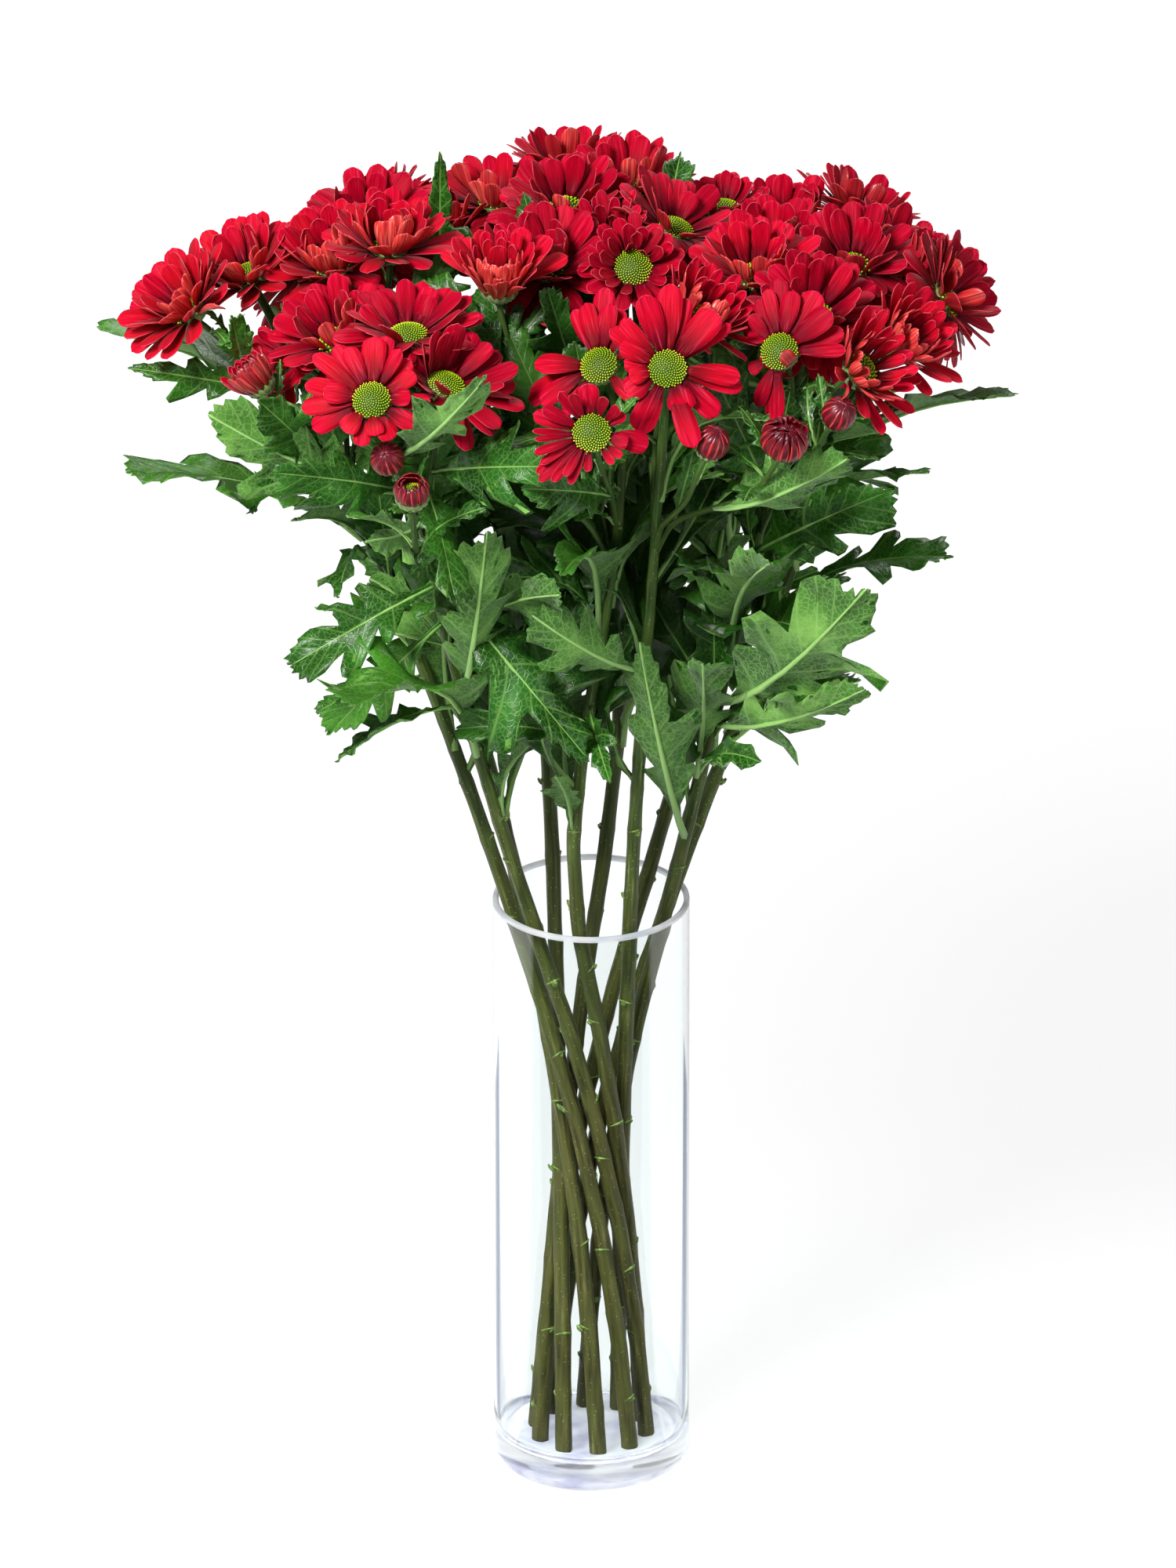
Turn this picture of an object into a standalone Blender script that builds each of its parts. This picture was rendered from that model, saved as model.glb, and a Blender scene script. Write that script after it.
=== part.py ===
"""Red spray chrysanthemums standing in a clear glass cylinder vase.

Metres, +Z up. The origin is the middle of the vase's flat foot.
"""

import math
from collections import namedtuple

import bmesh
import bpy
from mathutils import Matrix, Vector
from mathutils.bvhtree import BVHTree

MM = 0.001
UP = Vector((0, 0, 1))
GAP = 0.3 * MM  # left between pieces that rest on each other

# The vase: a straight glass cylinder with a thick floor.
VASE_RADIUS = 50 * MM
VASE_HEIGHT = 316 * MM
VASE_WALL = 3 * MM
VASE_FLOOR = 12 * MM
VASE_FOOT_ROUND = 6 * MM
VASE_STEPS = 32

# The stems stand in the vase as a hand-tied bunch does: each passes the waist beside its
# neighbours, and leans on the rim on the far side from its own foot.
STEM_COUNT = 10
WAIST_RADIUS = 16 * MM
WAIST_HEIGHT = 178 * MM
FOOT_SPREAD = 24 * MM  # sideways from the waist to the foot
STEM_RADIUS_FOOT = 4.4 * MM
STEM_RADIUS_RIM = 3.9 * MM
STEM_RADIUS_TOP = 1.9 * MM
STALK_RADIUS = 1.5 * MM  # the side stalks, one to each flower or bud
NECK = 5 * MM  # a stalk is straight for this far below its flower
LEAN_RADIUS = VASE_RADIUS - VASE_WALL - STEM_RADIUS_RIM - 3 * GAP
RIM_SPREAD = math.sqrt(LEAN_RADIUS**2 - WAIST_RADIUS**2)
FIRST_SPRAY_DEG = 175  # which way the first stem's spray leans, seen from above
WAIST_TO_SPRAY_DEG = 82  # a stem passes the waist this far round from its spray
STEM_SIDES = 8
RIM_POINT = 5  # which of a stem's points is at the rim, counted from the foot
ROUTE_STEP = 3 * MM  # how finely a route is tested
ROUTE_MARGIN = 0.8 * MM

# The flowers make a shallow dome, highest over the vase.
DOME_TOP = 677 * MM
DOME_FALL = 1.0  # metres down for each square metre out from the middle

# A flower: green scales under a green disc, and a ring of ray petals.
DISC_RADIUS = 10 * MM
DISC_RISE = 4 * MM
SCALES_DEPTH = 9 * MM
SEAT_RADIUS = 3 * MM
PETAL_THICKNESS = 1.4 * MM
PETAL_LOBES = 9
LOBE_NOTCH = 0.86  # the gaps between petals reach in to this part of the radius
SHIFT_STEP = 3 * MM
MOST_UP = 15 * MM  # how far a crowded flower may stand proud of the dome
MOST_DOWN = 24 * MM
CROWDED_RISES = (0, 12, 24, 36)  # degrees further up that crowding pushes petals

LEAF_THICKNESS = 0.9 * MM
LEAF_ROWS = 10
PETIOLE_PART = 0.2  # of the leaf's length
PETIOLE_HALF_WIDTH = 1.4 * MM
LEAF_JOINT_GAP = 0.75 * MM  # from the stem's side to the middle of the petiole's end
LEAF_JOINT_REACH = 4 * MM  # within this of its joint a leaf may be close to its stem
LEAF_TURN_DEG = 3
LEAF_TURNS = 20

# Each head: its place seen from above (mm), how far it hangs below the dome (mm), the way
# it leans (degrees from +X) and how far from upright, its width with the petals flat (mm)
# and how steeply they rise (degrees). A spray's first head ends its main stem.
Head = namedtuple("Head", "x y drop lean tilt span rise")
SPRAYS = (
    (
        Head(-175, 36, 0, 165, 40, 70, 24),
        Head(-195, 4, 6, 180, 60, 66, 24),
        Head(-130, 24, 2, 200, 15, 48, 36),
        Head(-101, 12, 7, 90, 10, 50, 38),
        Head(-166, -68, 12, 180, 40, 24, 90),
    ),
    (
        Head(-113, 74, 5, -90, 12, 76, 18),
        Head(-146, 98, 26, 145, 45, 56, 24),
        Head(-77, 112, 18, 120, 15, 48, 24),
        Head(-108, 142, 14, 125, 50, 64, 14),
    ),
    (
        Head(-48, 124, 14, 100, 20, 58, 24),
        Head(-14, 168, 4, 95, 30, 64, 20),
        Head(-60, 178, 26, 108, 60, 62, 14),
    ),
    (
        Head(18, 118, 6, 80, 15, 64, 24),
        Head(8, 29, 10, -110, 20, 48, 40),
        Head(43, 40, 4, 20, 25, 60, 30),
        Head(55, 170, 46, 75, 60, 64, 14),
    ),
    (
        Head(98, 130, 22, 60, 20, 64, 24),
        Head(130, 144, 22, 48, 40, 60, 18),
        Head(155, 99, 16, 30, 35, 64, 20),
        Head(92, 62, 12, 0, 0, 58, 30),
    ),
    (
        Head(131, 31, 6, -90, 12, 76, 18),
        Head(170, 45, 9, 10, 38, 50, 24),
        Head(173, 5, 4, -5, 65, 58, 14),
        Head(82, -7, 0, -90, 8, 56, 30),
    ),
    (
        Head(113, -42, 4, -45, 25, 72, 24),
        Head(93, -84, 4, -115, 50, 76, 10),
        Head(136, -82, 6, -20, 60, 56, 42),
        Head(157, -46, 6, -12, 50, 42, 60),
        Head(122, -111, 16, -60, 40, 21, 90),
    ),
    (
        Head(38, -113, 2, -88, 57, 86, 5),
        Head(21, -15, 4, -90, 45, 48, 28),
        Head(67, -50, -4, 0, 40, 44, 52),
        Head(95, -136, 20, -75, 35, 27, 90),
        Head(65, -130, 16, -40, 25, 22, 90),
    ),
    (
        Head(3, -84, 20, -125, 45, 58, 18),
        Head(0, -150, 12, -95, 60, 66, 8),
        Head(-22, 6, 13, -130, 15, 46, 36),
        Head(-46, -33, 2, -90, 5, 62, 48),
    ),
    (
        Head(-91, -65, 6, -90, 5, 76, 22),
        Head(-109, -118, 6, -105, 42, 76, 8),
        Head(-73, -100, 12, -60, 15, 44, 28),
        Head(-128, -34, 18, -165, 25, 60, 20),
        Head(-89, -152, 36, -95, 20, 27, 90),
    ),
)
BUD_RISE = 90  # a head with petals this steep is still a closed bud

# The large leaves that reach furthest: the stem each grows on, the height of its joint
# and its tip (mm), and the leaf's width as a part of its length.
Leaf = namedtuple("Leaf", "stem height tip width")
LEAVES = (
    Leaf(0, 510, (-232, -20, 561), 0.34),
    Leaf(0, 565, (-247, 30, 617), 0.26),
    Leaf(5, 545, (213, -10, 601), 0.28),
    Leaf(5, 475, (182, 0, 505), 0.44),
    Leaf(6, 405, (135, -45, 457), 0.46),
    Leaf(9, 445, (-128, -50, 415), 0.40),
)


def clear_scene():
    for obj in list(bpy.data.objects):
        bpy.data.objects.remove(obj)


def new_collection(name):
    collection = bpy.data.collections.new(name)
    bpy.context.scene.collection.children.link(collection)
    return collection


def surface(name, color, roughness, transmission=0.0):
    """A plain Principled material."""
    material = bpy.data.materials.new(name)
    material.use_nodes = True
    shader = material.node_tree.nodes["Principled BSDF"]
    shader.inputs["Base Color"].default_value = (*color, 1)
    shader.inputs["Roughness"].default_value = roughness
    shader.inputs["Metallic"].default_value = 0.0
    shader.inputs["Transmission Weight"].default_value = transmission
    return material


def direction(azimuth_deg, from_upright_deg=90):
    """A unit vector that leans this far from upright, towards this azimuth."""
    azimuth = math.radians(azimuth_deg)
    lean = math.radians(from_upright_deg)
    flat = math.sin(lean)
    return Vector((flat * math.cos(azimuth), flat * math.sin(azimuth), math.cos(lean)))


def bezier(a, b, c, d, count):
    """Points along a cubic curve from a to d, both ends included."""
    points = []
    for i in range(count):
        t = i / (count - 1)
        s = 1 - t
        points.append(s**3 * a + 3 * s * s * t * b + 3 * s * t * t * c + t**3 * d)
    return points


def add_object(name, mesh, material, collection):
    obj = bpy.data.objects.new(name, mesh)
    mesh.materials.clear()
    mesh.materials.append(material)
    collection.objects.link(obj)
    return obj


def shade_round(mesh, sharp_deg=40):
    mesh.shade_smooth()
    mesh.set_sharp_from_angle(angle=math.radians(sharp_deg))


def tree_of(mesh, matrix, swell=1.0):
    """The mesh in world space as a search tree, swollen about its middle for clearance."""
    points = [v.co for v in mesh.vertices]
    middle = sum(points, Vector()) / len(points)
    world = [matrix @ (middle + (p - middle) * swell) for p in points]
    return BVHTree.FromPolygons(world, [p.vertices[:] for p in mesh.polygons])


def is_clear(tree, placed):
    return not any(tree.overlap(other) for other in placed)


def spun(name, profile, steps):
    """A closed mesh turned from a profile of (radius, height) that starts and ends on Z."""
    form = bmesh.new()
    verts = [form.verts.new((r, 0, z)) for r, z in profile]
    edges = [form.edges.new(pair) for pair in zip(verts, verts[1:])]
    bmesh.ops.spin(form, geom=verts + edges, angle=math.tau, steps=steps,
                   axis=(0, 0, 1), cent=(0, 0, 0))
    bmesh.ops.remove_doubles(form, verts=form.verts[:], dist=0.01 * MM)
    bmesh.ops.recalc_face_normals(form, faces=form.faces[:])
    mesh = bpy.data.meshes.new(name)
    form.to_mesh(mesh)
    form.free()
    return mesh


# ---------------------------------------------------------------- vase


def vase_profile():
    """From the middle of the inside floor, up the wall, over the rim and down the outside."""
    inner = VASE_RADIUS - VASE_WALL
    half = VASE_WALL / 2
    corner = VASE_FOOT_ROUND
    points = [(0, VASE_FLOOR), (inner - corner / 2, VASE_FLOOR),
              (inner, VASE_FLOOR + corner / 2)]
    for turn_deg in (180, 120, 60, 0):
        turn = math.radians(turn_deg)
        points.append((VASE_RADIUS - half + half * math.cos(turn),
                       VASE_HEIGHT - half + half * math.sin(turn)))
    for turn_deg in (0, -30, -60, -90):
        turn = math.radians(turn_deg)
        points.append((VASE_RADIUS - corner + corner * math.cos(turn),
                       corner + corner * math.sin(turn)))
    points.append((0, 0))
    return points


def make_vase(collection, material):
    mesh = bpy.data.meshes.new("vase")
    points = vase_profile()
    edges = [(i, i + 1) for i in range(len(points) - 1)]
    mesh.from_pydata([(r, 0, z) for r, z in points], edges, [])
    vase = add_object("vase", mesh, material, collection)
    turn = vase.modifiers.new("turned", "SCREW")
    turn.steps = VASE_STEPS
    turn.render_steps = VASE_STEPS
    turn.use_merge_vertices = True
    turn.merge_threshold = 0.01 * MM
    turn.use_smooth_shade = True
    return vase


# ---------------------------------------------------------------- flower heads


def flower_profile(head):
    """Disc, petals and the green scales below them, from the top down to the stalk's seat."""
    rise = math.radians(head.rise)
    petal = head.span / 2 * MM - DISC_RADIUS
    tip = (DISC_RADIUS + petal * math.cos(rise), petal * math.sin(rise))
    return [
        (0, DISC_RISE),
        (DISC_RADIUS * 0.9, 0),
        tip,
        (tip[0] + PETAL_THICKNESS * math.sin(rise), tip[1] - PETAL_THICKNESS * math.cos(rise)),
        (DISC_RADIUS, -3 * MM),
        (SEAT_RADIUS, -SCALES_DEPTH),
        (0, -SCALES_DEPTH),
    ]


def bud_profile(head):
    """A round closed bud on its green scales."""
    radius = head.span / 2 * MM
    points = [(0, radius)]
    for turn_deg in (50, 10, -30):
        turn = math.radians(turn_deg)
        points.append((radius * math.cos(turn), radius * math.sin(turn)))
    return points + [(SEAT_RADIUS, -SCALES_DEPTH), (0, -SCALES_DEPTH)]


def head_mesh(name, head):
    """A bud is a turned shape. A flower's rim is notched between its petals."""
    if head.rise >= BUD_RISE:
        return spun(name, bud_profile(head), 12)
    profile = flower_profile(head)
    mesh = spun(name, profile, 2 * PETAL_LOBES)
    rim = profile[2][0] - PETAL_THICKNESS
    for vertex in mesh.vertices:
        around = math.atan2(vertex.co.y, vertex.co.x) * PETAL_LOBES / math.pi
        if vertex.co.xy.length > rim and round(around) % 2:
            vertex.co.xy *= LOBE_NOTCH
    return mesh


def head_matrix(head, shift):
    """Stands the head on the dome, leaning its own way, moved along its axis by shift."""
    x = head.x * MM
    y = head.y * MM
    z = DOME_TOP - DOME_FALL * (x * x + y * y) - head.drop * MM
    axis = direction(head.lean, head.tilt)
    turn = axis.to_track_quat("Z", "Y").to_matrix().to_4x4()
    return Matrix.Translation(Vector((x, y, z)) + axis * shift) @ turn


def shifts():
    """Ever further from the dome, up and down by turns, each within its own limit."""
    for step in range(round(MOST_DOWN / SHIFT_STEP) + 1):
        if step * SHIFT_STEP <= MOST_UP:
            yield step * SHIFT_STEP
        yield -step * SHIFT_STEP


def route_is_clear(route, radius, near):
    """Whether a tube along the route, up to its straight neck, keeps off every tree."""
    for low, high in zip(route, route[1:-1]):
        steps = math.ceil((high - low).length / ROUTE_STEP)
        for i in range(steps + 1):
            point = low.lerp(high, i / steps)
            if any(tree.find_nearest(point, radius + ROUTE_MARGIN)[0] for tree in near):
                return False
    return True


def place_head(name, head, solids, near, radius, routes_to):
    """Finds a head its room and its stalk a way up to it. Where flowers crowd, it moves
    along its stalk, and at last its neighbours push its petals up. Returns the mesh, its
    matrix and the stalk's route."""
    for more in CROWDED_RISES:
        rise = head.rise if head.rise >= BUD_RISE else head.rise + more
        mesh = head_mesh(name, head._replace(rise=rise))
        for shift in shifts():
            matrix = head_matrix(head, shift)
            own = tree_of(mesh, matrix, 1.03)
            if not is_clear(own, solids):
                continue
            axis = matrix.to_3x3() @ UP
            seat = (matrix @ (-UP * (SCALES_DEPTH + GAP)), axis)
            for route in routes_to(seat):
                if route_is_clear(route, radius, near + [own]):
                    return mesh, matrix, route
        bpy.data.meshes.remove(mesh)
    raise ValueError(f"no room for {name}")


# ---------------------------------------------------------------- stems


def waist_line(spray, height):
    """Where a stem's middle is at a height inside the vase: a bowed line that passes the
    waist at WAIST_RADIUS and drifts sideways from there to its foot and to the rim."""
    around = math.radians(FIRST_SPRAY_DEG - spray * 360 / STEM_COUNT + WAIST_TO_SPRAY_DEG)
    above = VASE_HEIGHT - WAIST_HEIGHT
    below = WAIST_HEIGHT - VASE_FLOOR
    bow = (RIM_SPREAD / above - FOOT_SPREAD / below) / (above + below)
    slope = FOOT_SPREAD / below + bow * below
    h = height - WAIST_HEIGHT
    drift = slope * h + bow * h * h
    outward = Vector((math.cos(around), math.sin(around), 0))
    sideways = Vector((math.sin(around), -math.cos(around), 0))
    return outward * WAIST_RADIUS + sideways * drift + UP * height


def lower_line(spray):
    """The stem's points inside the vase, from its cut foot to the rim."""
    foot = VASE_FLOOR + 2 * GAP
    return [waist_line(spray, foot + (VASE_HEIGHT - foot) * i / RIM_POINT)
            for i in range(RIM_POINT + 1)]


def up_to_seat(start, leaving, seat, straight, sway_deg, count):
    """A smooth line from start that comes up under a flower and ends in a straight neck."""
    end, axis = seat
    neck = end - axis * NECK
    reach = (neck - start).length
    arriving = Matrix.Rotation(math.radians(sway_deg), 3, "Z") @ (axis + UP).normalized()
    below = (axis * 0.3 + arriving * 0.7) * reach * straight
    return bezier(start, start + leaving * reach * 0.33, neck - below, neck, count) + [end]


def main_routes(low):
    """Ways for a main stem to go on from the rim up to a seat."""
    leaving = (low[-1] - low[-2]).normalized()

    def routes_to(seat):
        for straight in (0.3, 0.45, 0.2):
            for sway in (0, 20, -20, 40, -40):
                yield up_to_seat(low[-1], leaving, seat, straight, sway, 7)

    return routes_to


def stalk_routes(line):
    """Ways for a side stalk to leave the main stem and come up to a seat."""

    def routes_to(seat):
        for straight in (0.45, 0.3, 0.6, 0.8):
            for part in (0.62, 0.5, 0.74, 0.4, 0.84, 0.3, 0.92):
                at = RIM_POINT + part * (len(line) - 2 - RIM_POINT)
                low = int(at)
                start = line[low].lerp(line[low + 1], at - low)
                along = (line[low + 1] - line[low]).normalized()
                for sway in (0, 20, -20, 40, -40, 60, -60):
                    yield up_to_seat(start, along, seat, straight, sway, 5)

    return routes_to


def main_radii(count):
    """A main stem's radius at each of its points: slow taper to the rim, quicker above."""
    radii = []
    for i in range(count):
        if i <= RIM_POINT:
            part = i / RIM_POINT
            radii.append(STEM_RADIUS_FOOT + (STEM_RADIUS_RIM - STEM_RADIUS_FOOT) * part)
        else:
            part = (i - RIM_POINT) / (count - 1 - RIM_POINT)
            radii.append(STEM_RADIUS_RIM + (STEM_RADIUS_TOP - STEM_RADIUS_RIM) * part)
    return radii


def tube(name, points, radii, collection):
    """A tapered closed tube along the points, made as a bevelled curve and then a mesh."""
    line = bpy.data.curves.new(name, "CURVE")
    line.dimensions = "3D"
    line.bevel_depth = 1.0
    line.bevel_resolution = STEM_SIDES // 2 - 2
    line.use_fill_caps = True
    spline = line.splines.new("POLY")
    spline.points.add(len(points) - 1)
    for point, co, radius in zip(spline.points, points, radii):
        point.co = (*co, 1)
        point.radius = radius
    guide = bpy.data.objects.new(name + "_line", line)
    collection.objects.link(guide)
    graph = bpy.context.evaluated_depsgraph_get()
    mesh = bpy.data.meshes.new_from_object(guide.evaluated_get(graph))
    bpy.data.objects.remove(guide)
    form = bmesh.new()
    form.from_mesh(mesh)
    bmesh.ops.remove_doubles(form, verts=form.verts[:], dist=0.01 * MM)
    form.to_mesh(mesh)
    form.free()
    mesh.name = name
    return mesh


def join(obj, mesh, cutters):
    """Grows the mesh into obj with a Boolean union."""
    other = bpy.data.objects.new(mesh.name, mesh)
    other.hide_render = True
    other.display_type = "WIRE"
    cutters.objects.link(other)
    union = obj.modifiers.new("grown_together", "BOOLEAN")
    union.operation = "UNION"
    union.solver = "EXACT"
    union.object = other


# ---------------------------------------------------------------- the bunch


def numbered_heads():
    """(name, spray, head) of every head: first those that end a main stem, then the
    rest, and of each the outermost first, as the rim sets where the inner ones stand."""
    heads = []
    blooms = 0
    buds = 0
    for spray, group in enumerate(SPRAYS):
        for place, head in enumerate(group):
            if head.rise >= BUD_RISE:
                buds += 1
                name = f"bud_{buds:02d}"
            else:
                blooms += 1
                name = f"bloom_{blooms:02d}"
            order = (place > 0, -math.hypot(head.x, head.y))
            heads.append((order, name, spray, head))
    return [entry[1:] for entry in sorted(heads)]


def make_bunch(flowers, cutters, petal, bud, stem):
    """Grows each head with its stem or side stalk, clear of all that stands already.
    Returns the main stems' lines and the search trees of every solid."""
    trees = []  # (spray that it grows on, or None for a head; search tree)
    mains = {}
    for name, spray, head in numbered_heads():
        everything = [tree for _, tree in trees]
        others = [tree for owner, tree in trees if owner != spray]
        if spray not in mains:
            low = lower_line(spray)
            ways = main_routes(low)
            mesh, matrix, route = place_head(name, head, everything, others,
                                             STEM_RADIUS_RIM, ways)
            line = low + route[1:]
            main = tube(f"stem_{spray + 1:02d}", line, main_radii(len(line)), flowers)
            trees.append((spray, tree_of(main, Matrix())))
            mains[spray] = (add_object(main.name, main, stem, flowers), line)
        else:
            main, line = mains[spray]
            mesh, matrix, route = place_head(name, head, everything, others,
                                             STALK_RADIUS, stalk_routes(line))
            stalk = tube(f"{main.name}_to_{name}", route,
                         [STALK_RADIUS] * len(route), flowers)
            trees.append((spray, tree_of(stalk, Matrix())))
            join(main, stalk, cutters)
        shade_round(mesh)
        obj = add_object(name, mesh, bud if head.rise >= BUD_RISE else petal, flowers)
        obj.matrix_world = matrix
        trees.append((None, tree_of(mesh, matrix)))
    lines = [mains[spray][1] for spray in range(STEM_COUNT)]
    return lines, [tree for _, tree in trees]


# ---------------------------------------------------------------- leaves


def half_width(part, widest):
    """A leaf's half width along its length: a thin petiole, then a toothed blade whose
    lobes come and go."""
    if part <= PETIOLE_PART:
        return PETIOLE_HALF_WIDTH
    blade = (part - PETIOLE_PART) / (1 - PETIOLE_PART)
    oval = math.sin(math.pi * min(0.97, blade**0.8))
    lobes = 1 - 0.3 * (round(blade * LEAF_ROWS) % 2)
    return max(PETIOLE_HALF_WIDTH, widest * oval * lobes)


def leaf_mesh(name, start, tip, width):
    """A blade bent over from its joint to its tip, on a grid shaped along its midrib."""
    length = (tip - start).length
    out = (tip - start).normalized()
    across = out.cross(UP).normalized()
    lift = across.cross(out).normalized()
    route = bezier(start, start + (out + lift * 0.5) * length / 3,
                   tip - (out - lift * 0.5) * length / 3, tip, LEAF_ROWS + 1)
    form = bmesh.new()
    bmesh.ops.create_grid(form, x_segments=2, y_segments=LEAF_ROWS, size=1)
    for vertex in form.verts:
        part = (vertex.co.y + 1) / 2
        side = vertex.co.x
        row = min(LEAF_ROWS, round(part * LEAF_ROWS))
        reach = side * half_width(row / LEAF_ROWS, width * length / 2)
        vertex.co = route[row] + across * reach + lift * abs(reach) * 0.15
    mesh = bpy.data.meshes.new(name)
    form.to_mesh(mesh)
    form.free()
    return mesh


def stem_at(points, height):
    """The middle, the radius and the direction of a main stem at a height."""
    radii = main_radii(len(points))
    for i in range(len(points) - 1):
        if points[i].z <= height <= points[i + 1].z:
            part = (height - points[i].z) / (points[i + 1].z - points[i].z)
            radius = radii[i] + (radii[i + 1] - radii[i]) * part
            along = (points[i + 1] - points[i]).normalized()
            return points[i].lerp(points[i + 1], part), radius, along
    raise ValueError("no stem at this height")


def leaf_is_clear(mesh, start, placed):
    """Whether a leaf cuts through nothing, and past its joint keeps off everything too."""
    if not is_clear(tree_of(mesh, Matrix()), placed):
        return False
    points = [v.co for v in mesh.vertices if (v.co - start).length > LEAF_JOINT_REACH]
    near = LEAF_THICKNESS
    return not any(tree.find_nearest(p, near)[0] for tree in placed for p in points)


def place_leaf(name, leaf, line, placed):
    """Grows a leaf from its stem's side towards its tip, turned about the stem until it
    clears everything already there."""
    middle, radius, along = stem_at(line, leaf.height * MM)
    reach = Vector(leaf.tip) * MM - middle
    for turn in range(LEAF_TURNS + 1):
        for way in (1, -1):
            turned = Matrix.Rotation(math.radians(turn * LEAF_TURN_DEG * way), 3, "Z")
            aim = turned @ reach
            side = (aim - aim.project(along)).normalized()
            start = middle + side * (radius + LEAF_JOINT_GAP)
            mesh = leaf_mesh(name, start, middle + aim, leaf.width)
            if leaf_is_clear(mesh, start, placed):
                return mesh
            bpy.data.meshes.remove(mesh)
    raise ValueError(f"no room for {name}")


def make_leaves(collection, material, lines, placed):
    for number, leaf in enumerate(LEAVES, 1):
        name = f"leaf_{number:02d}"
        mesh = place_leaf(name, leaf, lines[leaf.stem], placed)
        shade_round(mesh, 60)
        obj = add_object(name, mesh, material, collection)
        blade = obj.modifiers.new("blade", "SOLIDIFY")
        blade.thickness = LEAF_THICKNESS
        blade.offset = 0
        placed.append(tree_of(mesh, Matrix()))


def build():
    clear_scene()
    flowers = new_collection("chrysanthemums_in_vase")
    cutters = new_collection("grafts")
    glass = surface("clear_glass", (0.95, 0.97, 0.98), 0.05, 1.0)
    petal = surface("petal_red", (0.55, 0.01, 0.02), 0.5)
    bud = surface("bud_maroon", (0.30, 0.03, 0.04), 0.5)
    stem = surface("stem_green", (0.10, 0.18, 0.04), 0.5)
    leaf = surface("leaf_green", (0.05, 0.16, 0.04), 0.5)
    make_vase(flowers, glass)
    lines, placed = make_bunch(flowers, cutters, petal, bud, stem)
    make_leaves(flowers, leaf, lines, placed)


build()
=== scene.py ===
"""The chrysanthemums in a vase: ten cut sprays of red single flowers in a clear glass cylinder."""
import math
import random
from collections import namedtuple

import bmesh
import bpy
import numpy as np
from mathutils import Matrix, Vector, noise
from mathutils.bvhtree import BVHTree


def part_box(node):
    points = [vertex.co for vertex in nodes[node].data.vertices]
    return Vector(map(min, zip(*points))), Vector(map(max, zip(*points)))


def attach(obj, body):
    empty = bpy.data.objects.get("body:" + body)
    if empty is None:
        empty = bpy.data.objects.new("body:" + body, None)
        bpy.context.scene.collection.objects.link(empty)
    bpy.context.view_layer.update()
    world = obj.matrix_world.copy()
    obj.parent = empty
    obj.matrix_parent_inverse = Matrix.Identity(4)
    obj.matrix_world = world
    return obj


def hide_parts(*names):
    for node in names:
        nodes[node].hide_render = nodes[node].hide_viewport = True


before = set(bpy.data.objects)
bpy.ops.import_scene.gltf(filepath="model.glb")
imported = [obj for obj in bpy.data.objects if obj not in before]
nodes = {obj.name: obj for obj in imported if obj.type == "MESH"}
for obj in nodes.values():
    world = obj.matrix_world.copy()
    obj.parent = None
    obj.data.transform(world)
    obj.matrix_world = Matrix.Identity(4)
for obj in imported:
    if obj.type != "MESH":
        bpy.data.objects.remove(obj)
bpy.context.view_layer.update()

MM = 0.001
UP = Vector((0, 0, 1))


# ------------------------------------------------------------------ the room
# White paper sweeps under and behind the vase. Three soft boxes and the bounce of
# the white room light it, and the camera looks a little down on it from far off.

ROOM_WHITE = "#ffffff"
PAPER = "#f4f4f4"
CARD_GREY = "#8e98b4"
PAPER_GLOW = 0.84
PAPER_LIT = "#6e6e6e"
GLASS_LOSS = 0.14
PAPER_FADES = (0.9, 2.0)     # from here to here the paper turns as bright as the room
FLOOR_HALF = 3.0
FLOOR_GAP = 0.2 * MM
# Grey cards lie flat on each side of the vase and behind it. Only the glass shows them.
CARD_CORNERS = ((66, 20), (110, 20), (330, 400), (190, 400))
CARD_HIGH = 0.5 * MM
BOTH_WALLS = 3.5             # light that crossed more faces than this is past both walls
THROWN_BACK = 0.5            # light that bounced more often than this was thrown back by glass
CLOTH_HIGH = 0.3 * MM
CLOTH_RADII = (0.075, 1.6)
CLOTH_HALF_DEG = 72
CLOTH_STEPS = 24
BUNCH_MIDDLE = Vector((0, 0, 450 * MM))
LOOK_DOWN_DEG = 25.5
CAMERA_FAR = 12.0
VIEW_HEIGHT = 793.7 * MM
VIEW_MIDDLE = Vector((-1.6 * MM, 0, 378.5 * MM))
SENSOR_MM = 36.0
SoftBox = namedtuple("SoftBox", "name place size watts")
SOFT_BOXES = (
    SoftBox("key_box", (-1.2, -1.7, 2.5), 0.9, 124),
    SoftBox("fill_box", (1.8, -1.6, 1.2), 1.6, 14),
    SoftBox("back_box", (0.5, 1.9, 2.2), 1.4, 30),
)
ROOM_BOUNCE = 0.17


def linear(code):
    """The linear colour of an sRGB hex value."""
    parts = [int(code[i : i + 2], 16) / 255 for i in (1, 3, 5)]
    parts = [p / 12.92 if p <= 0.04045 else ((p + 0.055) / 1.055) ** 2.4 for p in parts]
    return (*parts, 1.0)


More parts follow.
